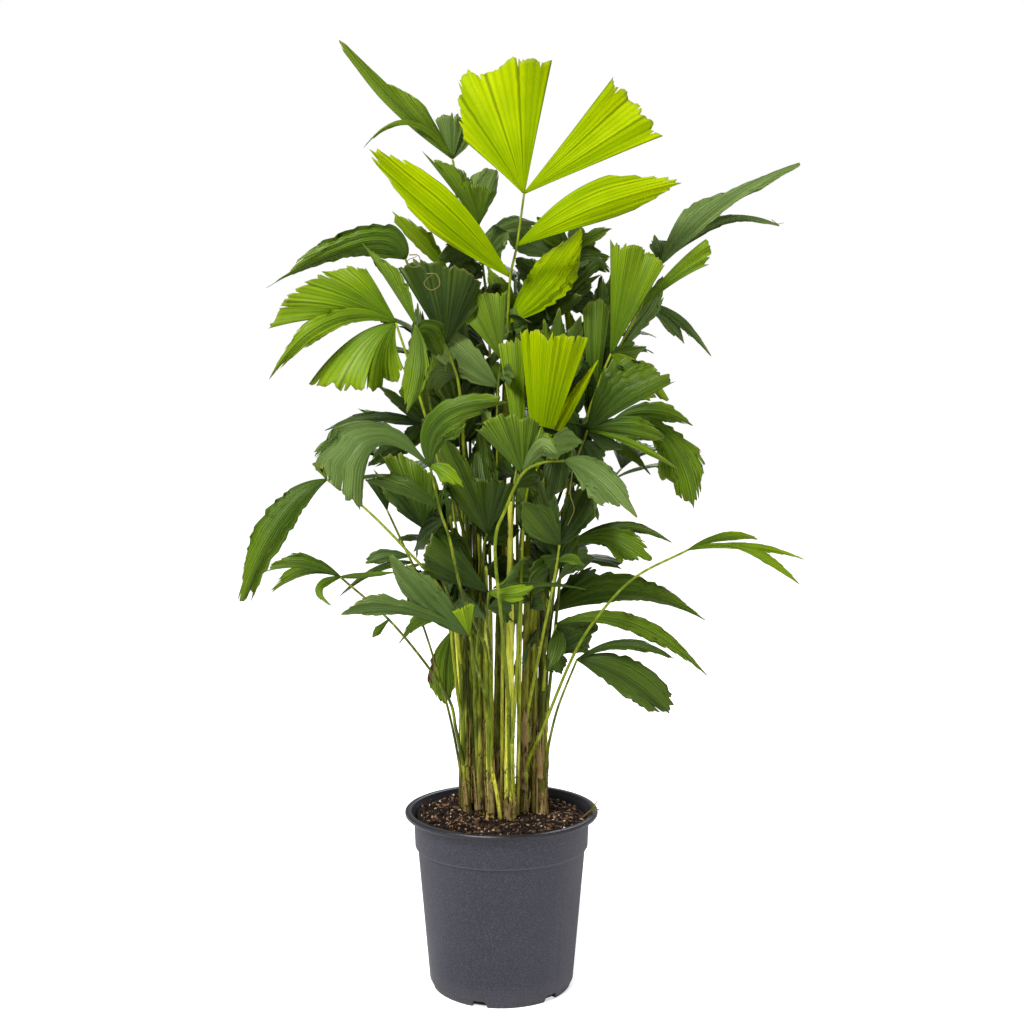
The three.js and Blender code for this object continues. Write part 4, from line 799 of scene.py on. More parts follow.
@dataclass
class GrownLeaf:
    """A leaflet in space, with the outline of its row.

    bend is how far its middle bows out, facing where its upper side looks, and push one step of a swing.
    """

    row: Leaflet
    base: np.ndarray
    tip: np.ndarray
    bend: np.ndarray
    width: float
    facing: np.ndarray
    push: np.ndarray

    def swung(self, swing: int) -> "GrownLeaf":
        """The same leaflet with its tip pushed by a number of steps."""
        return replace(self, tip=self.tip + self.push * swing)

    @property
    def length(self) -> float:
        """Straight length from root to tip."""
        return float(np.linalg.norm(self.tip - self.base))

    @property
    def thickness(self) -> float:
        """Thickness of the solid leaflet."""
        return max(LEAF_THINNEST, 0.0115 * self.length)

    def rib_length(self, u: np.ndarray) -> np.ndarray:
        """Length of the ribs across the leaflet, as a share of the longest."""
        tail, cuts, power = self.row.tail, self.row.cuts, self.row.power
        if self.row.teeth:
            return np.interp(u, *zip(*self.row.teeth))
        left = cuts[0] * (np.clip(tail - u, 0, 1) / max(tail, 1e-9)) ** power
        right = cuts[1] * (np.clip(u - tail, 0, 1) / max(1 - tail, 1e-9)) ** power
        return 1 - np.where(u < tail, left, np.where(u > tail, right, 0))

    def span(self, reach: np.ndarray) -> np.ndarray:
        """Width of the leaflet at shares of its length."""
        if self.row.spread:
            return math.radians(self.row.spread) * self.length * reach
        return self.width * WIDTHS[self.row.grows](reach)

    def place(
        self, u: np.ndarray, t: np.ndarray, stretch: np.ndarray | float = 1.0, root: bool = False
    ) -> tuple:
        """Points and normals of the sheet.

        Args:
            u: across, from the left edge, 0, to the right, 1.
            t: along the ribs, from the root, 0, to the end, 1.
            stretch: ragged lengthening of each rib.
            root: whether the root closes on two corners, as the solid's does.

        Returns:
            Points and unit normals, in millimetres.
        """
        row = self.row
        u, t = np.broadcast_arrays(np.asarray(u, float), np.asarray(t, float))
        reach = (t * self.rib_length(u) * stretch)[..., None]
        chord = self.tip - self.base
        out = chord * reach + self.bend * 4 * reach * (1 - reach)
        along = unit(chord + self.bend * 4 * (1 - 2 * reach))
        face = unit(self.facing - along * np.sum(along * self.facing, axis=-1, keepdims=True))
        turned = row.turn + row.twist * risen(t, 0.15, 0.7) ** 1.5
        normal = rotated(face, along, -np.radians(turned))
        side = np.cross(normal, along)
        half = self.span(np.clip(reach[..., 0], 0, None))[..., None]
        if row.spread:
            out = rotated(out, normal, np.radians(row.spread * (row.tail - u)))
        else:
            out = out + side * half * (row.tail - u)[..., None]
        if root:
            edge = np.where(t == 0, np.where(u > 0.5, -0.5, 0.5) * LEAF_ROOT_WIDTH, 0)
        else:
            edge = LEAF_ROOT_WIDTH * 0.6 * (0.5 - u) * (1 - t) ** 3
        out = out + side * edge[..., None]
        out = out + normal * (LEAF_CUP * half * (1 - (2 * u - 1) ** 2)[..., None])
        out = out - along * (LEAF_ROOT_SINK * (1 - t) ** 4)[..., None]
        return out + self.base, normal

    def corners(self) -> np.ndarray:
        """The four end corners that the solid leaflet has."""
        u = np.array((0.0, 1.0))
        point, normal = self.place(u, np.ones(2), root=True)
        step = normal * self.thickness / 2
        return np.vstack((point + step, point - step))


class Draw:
    """The seeded numbers of the hidden fronds."""

    def __init__(self, seed: int) -> None:
        """Starts from a seed."""
        self.state = seed

    def __call__(self) -> float:
        """The next number between 0 and 1."""
        self.state = (self.state * DRAW_FACTOR) % DRAW_RANGE
        return self.state / DRAW_RANGE


@dataclass
class GrownFrond:
    """A frond in space: its node's name, its tone, the cane that it leaves, its curve and leaflets."""

    name: str
    tone: Tone
    cane: Cane
    curve: Curve
    leaves: list


class Grower:
    """Grows every frond by the solids' rule and reads each swing and shift off the frame."""

    def __init__(self, nodes: dict) -> None:
        """Keeps the frame's nodes and works out the canes."""
        self.canes = {letter: Cane(row) for letter, row in CANES.items()}
        self.nodes = nodes

    def vertices(self, name: str) -> np.ndarray:
        """Vertices of a frame node, in millimetres."""
        mesh = self.nodes[name].data
        flat = np.empty(len(mesh.vertices) * 3)
        mesh.vertices.foreach_get("co", flat)
        return np.unique(np.round(flat.reshape(-1, 3) / MM, 4), axis=0)

    @staticmethod
    def misses(cloud: np.ndarray, points: np.ndarray) -> np.ndarray:
        """Distance from each point to the nearest vertex."""
        return np.sqrt(((points[:, None] - cloud[None]) ** 2).sum(-1)).min(1)

    def find_curve(self, cane: Cane, start: float, points: list, cloud: np.ndarray) -> Curve:
        """The stalk curve whose rings are nearest to the solid's vertices."""
        best, best_miss = None, math.inf
        steps = len(points) + 2
        for shift in range(STALK_SHIFTS):
            curve = stalk_line(cane, start, points, shift)
            t = np.arange(steps + 1) / steps
            first, second = frames_along(curve.way(t))
            radius = stalk_radius(t)[:, None]
            centre = curve.at(t)
            rings = [centre + first * radius, centre - first * radius, centre + second * radius]
            miss = float(np.median(np.concatenate([self.misses(cloud, ring[1:4]) for ring in rings])))
            if miss < best_miss:
                best, best_miss = curve, miss
        if best_miss > STALK_MISS:
            log.info("a stalk is %.2f mm off its solid", best_miss)
        return best

    def find_swing(self, leaf: GrownLeaf, cloud: np.ndarray) -> int | None:
        """The swing that the solid of a leaflet took, or None where it has no solid."""
        best, best_miss = None, math.inf
        for swing in SWINGS:
            miss = float(np.sort(self.misses(cloud, leaf.swung(swing).corners()))[:2].mean())
            if miss < best_miss - 1e-3:
                best, best_miss = swing, miss
        return best if best_miss < LEAF_MISS else None

    def hand_leaf(self, row: Leaflet, curve: Curve) -> GrownLeaf:
        """A leaflet from its row, as the eye in front sees it."""
        base = curve.at((row.at + 3) / curve.count)
        depth = row.tip[2]
        scale = sight_scale((depth + base[1]) / 2)
        tip = seen(*row.tip)
        push = seen(row.tip[0], row.tip[1], depth + SWING_STEP) - tip
        bend = np.array((row.shift * scale, 0.0, row.lift * scale))
        return GrownLeaf(row, base, tip, bend, row.width * scale, TO_EYE, push)

    def frond(self, row: FrondRow) -> GrownFrond:
        """A frond of the front from its row."""
        name = "frond_" + row.name
        cloud = self.vertices(name)
        points = [seen(*point) for point in row.stalk]
        curve = self.find_curve(self.canes[row.cane], row.start, points, cloud)
        leaves = []
        for number, leaflet in enumerate(row.leaves):
            swing = self.find_swing(self.hand_leaf(leaflet, curve), cloud)
            if swing is None:
                log.info("%s: leaflet %d has no solid", name, number)
            else:
                leaves.append(self.hand_leaf(replace(leaflet, **leaflet.finer), curve).swung(swing))
        leaves += [self.hand_leaf(leaflet, curve) for leaflet in SHADED.get(row.name, [])]
        return GrownFrond(name, row.tone, self.canes[row.cane], curve, leaves)

    def wild(self, row: WildRow, index: int, fine: bool = False) -> GrownFrond:
        """A frond of the hidden sides from its seeded rule; a fine one grows free of its solid."""
        name = "frond_" + row.name
        cloud = self.vertices(name)
        draw = Draw(WILD_SEED + WILD_SEED_STEP * index)
        angle = math.radians(row.azimuth)
        outward = np.array((math.cos(angle), math.sin(angle), 0.0))
        sideways = np.array((-outward[1], outward[0], 0.0))
        cane = self.canes[row.cane]
        root = cane.at(cane.share(row.start))
        climb = row.height - row.start
        points = [root + outward * row.reach * s * s + UP * climb * s for s in (0.55, 0.85, 1)]
        if fine:
            curve = stalk_line(cane, row.start, points, 0)
        else:
            curve = self.find_curve(cane, row.start, points, cloud)
        plans = []
        for side in (1, -1):
            at = 1 if side > 0 else 1.4
            heading = side * (58 + 22 * draw())
            length = 0.9 + 0.2 * draw()
            plans.append((at, heading, length, 0.2, 0.1 if side > 0 else 0.9, 0.4 + 0.1 * draw()))
        heading = 30 + 14 * draw()
        plans.append((2, heading, 1, 0.12, 0.2, 0.4 + 0.1 * draw()))
        heading = -20 - 14 * draw()
        plans.append((2, heading, 0.9, 0.16, 0.8, 0.4 + 0.1 * draw()))
        leaves = []
        for at, heading, share, droop, tail, width in plans:
            way = math.radians(heading)
            out = outward * math.cos(way) + sideways * math.sin(way)
            length = share * row.size
            base = curve.at((at + 3) / curve.count)
            tip = base + out * length + UP * length * (0.55 - 2.2 * droop)
            leaflet = Leaflet(at, (0, 0, 0), width * row.size, 0, tail, cuts=(0.35, 0.35))
            facing = unit(UP - 0.4 * out)
            bend = UP * 0.13 * length
            leaf = GrownLeaf(leaflet, base, tip, bend, width * row.size, facing, UP * SWING_STEP)
            swing = 0 if fine else self.find_swing(leaf, cloud)
            if swing is not None:
                swung = leaf.swung(swing)
                kept = base + (swung.tip - base) * row.trim
                width = swung.width * row.trim
                leaves.append(replace(swung, tip=kept, width=width, bend=swung.bend * row.trim))
        return GrownFrond(name, Tone.DEEP, cane, curve, leaves)

    def grow(self) -> list:
        """All the fronds that the frame holds."""
        fronds = [self.frond(row) for row in FRONDS if "frond_" + row.name in self.nodes]
        for index, row in enumerate(WILD):
            if "frond_" + row.name in self.nodes:
                fronds.append(self.wild(replace(row, **row.finer), index, bool(row.finer)))
        return fronds


class SheetBuilder:
    """Collects many small closed surfaces and joins them into one mesh."""

    def __init__(self) -> None:
        """Starts empty."""
        self.points, self.faces, self.slots, self.flats = [], [], [], []
        self.uvs, self.marks = [], []
        self.total = 0

    def add(
        self, points: np.ndarray, faces: list, uv: np.ndarray, mark: np.ndarray, slot: int, flat: list
    ) -> None:
        """Adds one surface.

        Args:
            points: its vertices in millimetres.
            faces: vertex numbers of each face, facing out.
            uv: a pair per vertex.
            mark: share, underside, run and freshness per vertex, read by the finishes.
            slot: number of its finish.
            flat: whether each face is shaded flat.
        """
        self.points.append(points * MM)
        self.faces.extend([tuple(int(v) + self.total for v in face) for face in faces])
        self.slots.extend([slot] * len(faces))
        self.flats.extend(flat)
        self.uvs.append(uv)
        self.marks.append(mark)
        self.total += len(points)

    def sheet(
        self, top: np.ndarray, bottom: np.ndarray, uv: np.ndarray, tint: float, run: np.ndarray, slot: int,
        dry: np.ndarray | None = None,
    ) -> None:
        """Adds a thin closed sheet.

        Args:
            top: grid of points of its outer face.
            bottom: grid of points of its inner face.
            uv: a pair for each point of the grid.
            tint: its share of the lighter colour.
            run: how far along each point is, 0 to 1.
            slot: number of its finish.
            dry: how withered each point is, 0 to 1.
        """
        columns, rows = top.shape[:2]
        count = columns * rows
        number = np.arange(count).reshape(columns, rows)
        a, b = number[:-1, :-1].ravel(), number[1:, :-1].ravel()
        c, d = number[1:, 1:].ravel(), number[:-1, 1:].ravel()
        upper = np.stack((a, b, c, d), 1)
        lower = np.stack((d, c, b, a), 1) + count
        loop = np.concatenate((number[:, 0], number[-1, 1:], number[-2::-1, -1], number[0, -2:0:-1]))
        after = np.roll(loop, -1)
        rim = np.stack((after, loop, loop + count, after + count), 1)
        faces = np.vstack((upper, lower, rim)).tolist()
        flat = [False] * (len(upper) + len(lower)) + [True] * len(rim)
        points = np.vstack((top.reshape(-1, 3), bottom.reshape(-1, 3)))
        flat_uv = uv.reshape(-1, 2)
        mark = np.zeros((2 * count, 4))
        mark[:, 0] = tint
        mark[count:, 1] = 1
        mark[:, 2] = np.tile(run.ravel(), 2)
        mark[:, 3] = 1 if dry is None else 1 - np.tile(dry.ravel(), 2)
        self.add(points, faces, np.vstack((flat_uv, flat_uv)), mark, slot, flat)

    def tube(
        self, centre: np.ndarray, ways: np.ndarray, radius: np.ndarray, sides: int, tint: float, slot: int
    ) -> None:
        """Adds a limb with closed ends; radius is one row per point, or one value per point and side."""
        rows = len(centre)
        first, second = frames_along(ways)
        turn = 2 * math.pi * np.arange(sides) / sides
        radius = np.broadcast_to(radius if radius.ndim == 2 else radius[:, None], (rows, sides))[..., None]
        cosine, sine = np.cos(turn)[None, :, None], np.sin(turn)[None, :, None]
        ring = first[:, None] * cosine + second[:, None] * sine
        points = (centre[:, None] + ring * radius).reshape(-1, 3)
        number = np.arange(rows * sides).reshape(rows, sides)
        after = np.roll(number, -1, axis=1)
        corners = (number[:-1], after[:-1], after[1:], number[1:])
        walls = np.stack([corner.ravel() for corner in corners], 1)
        faces = walls.tolist() + [number[0, ::-1].tolist(), number[-1].tolist()]
        along, around = np.meshgrid(np.arange(rows) / rows, np.arange(sides) / sides, indexing="ij")
        uv = np.stack((around, along), -1)
        mark = np.zeros((rows * sides, 4))
        mark[:, 0] = tint
        mark[:, 2] = np.repeat(np.arange(rows) / (rows - 1), sides)
        mark[:, 3] = 1
        self.add(points, faces, uv.reshape(-1, 2), mark, slot, [False] * len(walls) + [True, True])

    def build(self, name: str, finishes: list) -> bpy.types.Object:
        """Makes the object from all that was added.

        Args:
            name: name of the piece.
            finishes: its materials, by slot.

        Returns:
            The new object, at the origin.
        """
        mesh = bpy.data.meshes.new(name)
        mesh.from_pydata(np.vstack(self.points).tolist(), [], self.faces)
        mesh.polygons.foreach_set("material_index", np.array(self.slots, dtype=np.int32))
        mesh.polygons.foreach_set("use_smooth", ~np.array(self.flats, dtype=bool))
        corner = np.empty(len(mesh.loops), dtype=np.int32)
        mesh.loops.foreach_get("vertex_index", corner)
        layer = mesh.uv_layers.new(name="ribs")
        layer.data.foreach_set("uv", np.vstack(self.uvs)[corner].astype(np.float32).ravel())
        marks = mesh.color_attributes.new(name="mark", type="FLOAT_COLOR", domain="POINT")
        marks.data.foreach_set("color", np.vstack(self.marks).astype(np.float32).ravel())
        for finish in finishes:
            mesh.materials.append(finish)
        mesh.update()
        piece = bpy.data.objects.new(name, mesh)
        bpy.context.scene.collection.objects.link(piece)
        return piece


class NodeKit:
    """Short ways to make and join shader nodes in one tree."""

    def __init__(self, tree: bpy.types.NodeTree) -> None:
        """Keeps the tree."""
        self.tree = tree

    def node(self, kind: str, **settings) -> bpy.types.Node:
        """A new node with properties set."""
        made = self.tree.nodes.new(kind)
        for key, value in settings.items():
            setattr(made, key, value)
        return made

    def join(self, source: bpy.types.NodeSocket, target: bpy.types.NodeSocket) -> None:
        """A link between two sockets."""
        self.tree.links.new(source, target)

    def math(self, operation: str, a: object, b: object = 0.0) -> bpy.types.NodeSocket:
        """The result of a Math node on sockets or numbers."""
        made = self.node("ShaderNodeMath", operation=operation)
        for value, socket in zip((a, b), made.inputs):
            if isinstance(value, (int, float)):
                socket.default_value = value
            else:
                self.join(value, socket)
        return made.outputs[0]

    def times(self, a: object, b: object) -> bpy.types.NodeSocket:
        """The product of two sockets or numbers."""
        return self.math("MULTIPLY", a, b)

    def rest(self, value: bpy.types.NodeSocket) -> bpy.types.NodeSocket:
        """What is left of 1 without a value."""
        return self.math("SUBTRACT", 1.0, value)

    def lay(self, body: object, colour: object, mask: object, strength: object) -> bpy.types.NodeSocket:
        """A colour laid over a body where a mask is, with a strength."""
        return self.mix(self.times(mask, strength), body, colour)

    def axis(self, coords: bpy.types.NodeSocket, label: str) -> bpy.types.NodeSocket:
        """One of the three parts of a place."""
        split = self.node("ShaderNodeSeparateXYZ")
        self.join(coords, split.inputs[0])
        return split.outputs[label]

    def drawn_out(self, coords: bpy.types.NodeSocket, upright: float) -> bpy.types.NodeSocket:
        """Coordinates scaled along z, so that what is laid over them runs upright."""
        made = self.node("ShaderNodeMapping")
        made.inputs["Scale"].default_value = (1.0, 1.0, upright)
        self.join(coords, made.inputs["Vector"])
        return made.outputs["Vector"]

    def mix(self, share: object, a: object, b: object) -> bpy.types.NodeSocket:
        """A mixed colour of two sockets or colours."""
        made = self.node("ShaderNodeMix", data_type="RGBA", blend_type="MIX", clamp_factor=True)
        for value, socket in ((share, made.inputs[0]), (a, made.inputs[6]), (b, made.inputs[7])):
            if isinstance(value, tuple):
                socket.default_value = (*value, 1.0) if len(value) == 3 else value
            elif isinstance(value, (int, float)):
                socket.default_value = value
            else:
                self.join(value, socket)
        return made.outputs[2]

    def noise(
        self, coords: bpy.types.NodeSocket, scale: float, detail: float = 3.0, rough: float = 0.55
    ) -> bpy.types.NodeSocket:
        """A noise value over coordinates."""
        made = self.node("ShaderNodeTexNoise")
        self.join(coords, made.inputs["Vector"])
        made.inputs["Scale"].default_value = scale
        made.inputs["Detail"].default_value = detail
        made.inputs["Roughness"].default_value = rough
        return made.outputs["Fac"]

    def ramp(self, value: bpy.types.NodeSocket, low: float, high: float) -> bpy.types.NodeSocket:
        """A value spread from low..high to 0..1 and clamped."""
        made = self.node("ShaderNodeMapRange", clamp=True)
        self.join(value, made.inputs["Value"])
        made.inputs["From Min"].default_value = low
        made.inputs["From Max"].default_value = high
        return made.outputs["Result"]


class SharedEffects:
    """Node groups that more than one finish uses."""

    def __init__(self) -> None:
        """Builds each group once."""
        self.veins = self.make_veins()
        self.mottle = self.make_mottle()

    @staticmethod
    def new_group(name: str, inputs: dict, outputs: list) -> tuple:
        """A shader group with float inputs and outputs.

        Args:
            name: its name.
            inputs: socket names with their usual values; a None makes a vector.
            outputs: names of the values it puts out.

        Returns:
            The tree, its kit, its input node and its output node.
        """
        tree = bpy.data.node_groups.new(name, "ShaderNodeTree")
        for label, value in inputs.items():
            kind = "NodeSocketVector" if value is None else "NodeSocketFloat"
            socket = tree.interface.new_socket(label, in_out="INPUT", socket_type=kind)
            if value is not None:
                socket.default_value = value
        for label in outputs:
            tree.interface.new_socket(label, in_out="OUTPUT", socket_type="NodeSocketFloat")
        kit = NodeKit(tree)
        return tree, kit, kit.node("NodeGroupInput"), kit.node("NodeGroupOutput")

    def make_veins(self) -> bpy.types.NodeTree:
        """Lines that run along the leaflet: broad pleats, a rib on each and fine veins between."""
        tree, kit, source, sink = self.new_group(
            "leaf_veins", {"Ribs": None, "Fine": 4.0, "Waver": 0.08}, ["Pleat", "Rib", "Vein", "Band"]
        )
        even = kit.axis(source.outputs["Ribs"], "X")
        wander = kit.math("SUBTRACT", kit.noise(source.outputs["Ribs"], 3.0), 0.5)
        across = kit.math("ADD", even, kit.times(wander, source.outputs["Waver"]))
        pleat = kit.math("COSINE", kit.times(across, 2 * math.pi))
        fine = kit.times(kit.times(across, source.outputs["Fine"]), 2 * math.pi)
        wide = kit.math("ADD", even, kit.times(wander, 0.5))
        band = kit.math("COSINE", kit.times(wide, 2 * math.pi / 2.6))
        kit.join(kit.ramp(band, 0.25, 1.0), sink.inputs["Band"])
        # Pleat Light: painted light on the pleats' crests and painted shade in their troughs
        kit.join(kit.ramp(pleat, -0.6, 1.0), sink.inputs["Pleat"])
        kit.join(kit.ramp(pleat, 0.86, 1.0), sink.inputs["Rib"])
        kit.join(kit.ramp(kit.math("COSINE", fine), -0.4, 1.0), sink.inputs["Vein"])
        return tree

    def make_mottle(self) -> bpy.types.NodeTree:
        """Soft patches and small specks over Object coordinates."""
        tree, kit, source, sink = self.new_group(
            "mottle", {"Place": None, "Patch Scale": 18.0, "Speck Scale": 160.0}, ["Patches", "Specks"]
        )
        for label, detail, low, high, out in (
            ("Patch Scale", 3.0, 0.35, 0.68, "Patches"),
            ("Speck Scale", 2.0, 0.66, 0.74, "Specks"),
        ):
            made = kit.node("ShaderNodeTexNoise")
            kit.join(source.outputs["Place"], made.inputs["Vector"])
            kit.join(source.outputs[label], made.inputs["Scale"])
            made.inputs["Detail"].default_value = detail
            kit.join(kit.ramp(made.outputs["Fac"], low, high), sink.inputs[out])
        return tree


class Finish:
    """A material being made: its kit, its shader and its coordinates."""

    def __init__(self, name: str) -> None:
        """Starts a material with a Principled shader."""
        self.material = bpy.data.materials.new(name)
        self.material.use_nodes = True
        tree = self.material.node_tree
        self.kit = NodeKit(tree)
        self.shader = tree.nodes["Principled BSDF"]
        coords = self.kit.node("ShaderNodeTexCoord")
        self.place, self.uv = coords.outputs["Object"], coords.outputs["UV"]

    def group(self, tree: bpy.types.NodeTree, **values) -> bpy.types.Node:
        """A shared effect placed in this material with its own values."""
        made = self.kit.node("ShaderNodeGroup", node_tree=tree)
        for label, value in values.items():
            made.inputs[label.replace("_", " ")].default_value = value
        return made

    def mottle(self, effects: SharedEffects, patch: float, speck: float, place: object = None) -> tuple:
        """The patches and specks over the piece's own coordinates or others, at two scales."""
        made = self.group(effects.mottle, Patch_Scale=patch, Speck_Scale=speck)
        self.kit.join(self.place if place is None else place, made.inputs["Place"])
        return made.outputs["Patches"], made.outputs["Specks"]

    def mark(self) -> tuple:
        """The share, underside, run and freshness that each vertex carries."""
        source = self.kit.node("ShaderNodeAttribute", attribute_name="mark")
        split = self.kit.node("ShaderNodeSeparateColor")
        self.kit.join(source.outputs["Color"], split.inputs[0])
        return split.outputs[0], split.outputs[1], split.outputs[2], source.outputs["Alpha"]

    def bump(self, height: bpy.types.NodeSocket, strength: float, distance: float) -> None:
        """Relief from a height."""
        made = self.kit.node("ShaderNodeBump")
        made.inputs["Strength"].default_value = strength
        made.inputs["Distance"].default_value = distance
        self.kit.join(height, made.inputs["Height"])
        self.kit.join(made.outputs["Normal"], self.shader.inputs["Normal"])

    def feed(self, socket: str, value: object) -> None:
        """Gives the shader a colour, a number or a link."""
        target = self.shader.inputs[socket]
        if isinstance(value, tuple):
            target.default_value = (*value, 1.0)
        elif isinstance(value, (int, float)):
            target.default_value = value
        else:
            self.kit.join(value, target)


@dataclass(frozen=True)
class LeafFinish:
    """Colours of one leaf tone: its body, shaded patches, lit patches, ribs and underside.

    banding is the strength of its dark bands, sky how blue its shine is; the last four are the colours
    of specks, of the tips and of withered places, half dry and dead.
    """

    tone: Tone
    upper: tuple
    dark: tuple
    light: tuple
    rib: tuple
    under: tuple
    gloss: float = 0.4
    banding: float = 0.4
    sky: float = 0.8
    speck: tuple = (0.2, 0.19, 0.05)
    scorch: tuple = (0.26, 0.21, 0.06)
    dry: tuple = (0.13, 0.08, 0.03)
    dead: tuple = (0.05, 0.025, 0.012)

    def make(self, effects: SharedEffects) -> bpy.types.Material:
        """Builds the leaf material."""
        finish = Finish("leaf_" + self.tone.value)
        kit = finish.kit
        share, under, run, fresh = finish.mark()
        veins = finish.group(effects.veins)
        kit.join(finish.uv, veins.inputs["Ribs"])
        patches, specks = finish.mottle(effects, 22.0, 190.0)
        body = kit.lay(self.upper, self.dark, patches, 0.5)
        body = kit.lay(body, self.light, kit.ramp(share, 0.35, 1.0), 0.6)
        body = kit.lay(body, self.dark, kit.rest(kit.ramp(share, 0.0, 0.35)), 0.6)
        # painted light on the pleats' crests, painted shade in their troughs
        body = kit.lay(body, self.light, veins.outputs["Pleat"], 0.3)
        body = kit.lay(body, self.dark, kit.rest(kit.ramp(run, 0.0, 0.6)), 0.4)
        body = kit.lay(body, self.light, kit.ramp(run, 0.5, 1.0), 0.4)
        body = kit.lay(body, self.dark, veins.outputs["Band"], self.banding)
        body = kit.lay(body, self.dark, veins.outputs["Vein"], 0.36)
        body = kit.lay(body, self.rib, veins.outputs["Rib"], 0.65)
        body = kit.lay(body, self.speck, specks, 0.14)
        body = kit.lay(body, self.scorch, kit.times(kit.ramp(run, 0.965, 1.0), patches), 0.5)
        body = kit.lay(body, self.under, under, 0.7)
        rim = kit.math("ADD", kit.rest(fresh), kit.times(patches, 0.25))
        body = kit.mix(kit.ramp(rim, 0.3, 0.6), body, self.dry)
        body = kit.mix(kit.ramp(rim, 0.75, 1.0), body, self.dead)
        finish.feed("Base Color", body)
        rough = kit.math("ADD", kit.times(patches, 0.14), self.gloss)
        finish.feed("Roughness", kit.math("ADD", rough, kit.times(under, 0.16)))
        finish.feed("Specular IOR Level", 0.2)
        finish.feed("Specular Tint", (0.88, 1.0, self.sky))
        lines = kit.math("ADD", veins.outputs["Vein"], kit.times(veins.outputs["Rib"], -1.2))
        finish.bump(lines, 0.5, 0.0006)
        return finish.material


LEAF_FINISHES = [
    LeafFinish(
        Tone.LIME, (0.27, 0.38, 0.0), (0.12, 0.22, 0.0), (0.42, 0.49, 0.0),
        (0.045, 0.1, 0.0), (0.32, 0.42, 0.003), 0.5, 0.4, 0.05,
    ),
    LeafFinish(
        Tone.FRESH, (0.12, 0.215, 0.001), (0.042, 0.095, 0.001), (0.26, 0.36, 0.003),
        (0.02, 0.055, 0.001), (0.22, 0.31, 0.04), 0.42, 0.4, 0.6,
    ),
    LeafFinish(
        Tone.GREEN, (0.065, 0.13, 0.002), (0.018, 0.045, 0.001), (0.17, 0.26, 0.008),
        (0.01, 0.028, 0.001), (0.15, 0.24, 0.05), 0.38,
    ),
    LeafFinish(
        Tone.DEEP, (0.028, 0.06, 0.003), (0.008, 0.021, 0.001), (0.085, 0.14, 0.008),
        (0.006, 0.016, 0.001), (0.085, 0.14, 0.03), 0.36,
    ),
    LeafFinish(
        Tone.GREY, (0.085, 0.145, 0.024), (0.034, 0.07, 0.01), (0.17, 0.24, 0.06),
        (0.03, 0.06, 0.01), (0.18, 0.25, 0.09), 0.46,
    ),
]


@dataclass(frozen=True)
class StalkFinish:
    """A smooth green stalk, darker or yellower from limb to limb, that browns towards its foot.

    foot is the height, in metres, up to which it is brown.
    """

    name: str
    dark: tuple
    green: tuple
    pale: tuple
    brown: tuple
    foot: float
    scar: tuple = (0.025, 0.014, 0.006)

    def make(self) -> bpy.types.Material:
        """Builds the stalk material."""
        finish = Finish(self.name)
        kit = finish.kit
        share = finish.mark()[0]
        long = kit.drawn_out(finish.place, 0.2)
        streak = kit.noise(kit.drawn_out(finish.place, 0.1), 420.0, 4.0, 0.7)
        patch = kit.noise(long, 130.0, 3.0)
        body = kit.mix(kit.ramp(share, 0.15, 0.55), self.dark, self.green)
        body = kit.lay(body, self.pale, kit.ramp(share, 0.55, 0.95), 0.8)
        # pale patches: partly the stalk's own paler streaks, partly painted highlights
        body = kit.lay(body, self.pale, kit.ramp(patch, 0.45, 0.68), 0.7)
        body = kit.lay(body, self.dark, kit.ramp(streak, 0.45, 0.62), 0.55)
        uneven = kit.times(kit.math("SUBTRACT", patch, 0.5), 0.25)
        height = kit.math("ADD", kit.axis(finish.place, "Z"), uneven)
        bare = kit.rest(kit.ramp(height, 0.2, self.foot))
        body = kit.lay(body, self.brown, bare, kit.ramp(streak, 0.3, 0.55))
        body = kit.lay(body, self.brown, kit.ramp(streak, 0.6, 0.74), 0.6)
        fleck = kit.noise(long, 520.0, 3.0, 0.6)
        low = kit.rest(kit.ramp(height, 0.24, self.foot + 0.2))
        body = kit.lay(body, self.scar, kit.times(low, kit.ramp(fleck, 0.55, 0.64)), 0.75)
        finish.feed("Base Color", body)
        finish.feed("Roughness", kit.math("ADD", 0.4, kit.times(bare, 0.4)))
        finish.feed("Specular IOR Level", 0.22)
        finish.feed("Specular Tint", (1.0, 1.0, 0.6))
        finish.bump(streak, 0.5, 0.0008)
        return finish.material


STALK_FINISHES = {
    "stalk_green": StalkFinish(
        "stalk_green", (0.05, 0.078, 0.004), (0.155, 0.215, 0.008), (0.38, 0.43, 0.03),
        (0.1, 0.062, 0.02), 0.27,
    ),
    "cane_yellow": StalkFinish(
        "cane_yellow", (0.16, 0.2, 0.004), (0.62, 0.64, 0.02), (0.92, 0.88, 0.14),
        (0.24, 0.17, 0.055), 0.3,
    ),
    "cane_green": StalkFinish(
        "cane_green", (0.045, 0.065, 0.003), (0.28, 0.33, 0.01), (0.7, 0.7, 0.09),
        (0.16, 0.105, 0.034), 0.35,
    ),
    "cane_brown": StalkFinish(
        "cane_brown", (0.03, 0.038, 0.003), (0.12, 0.135, 0.008), (0.36, 0.36, 0.04),
        (0.15, 0.1, 0.035), 0.4,
    ),
}


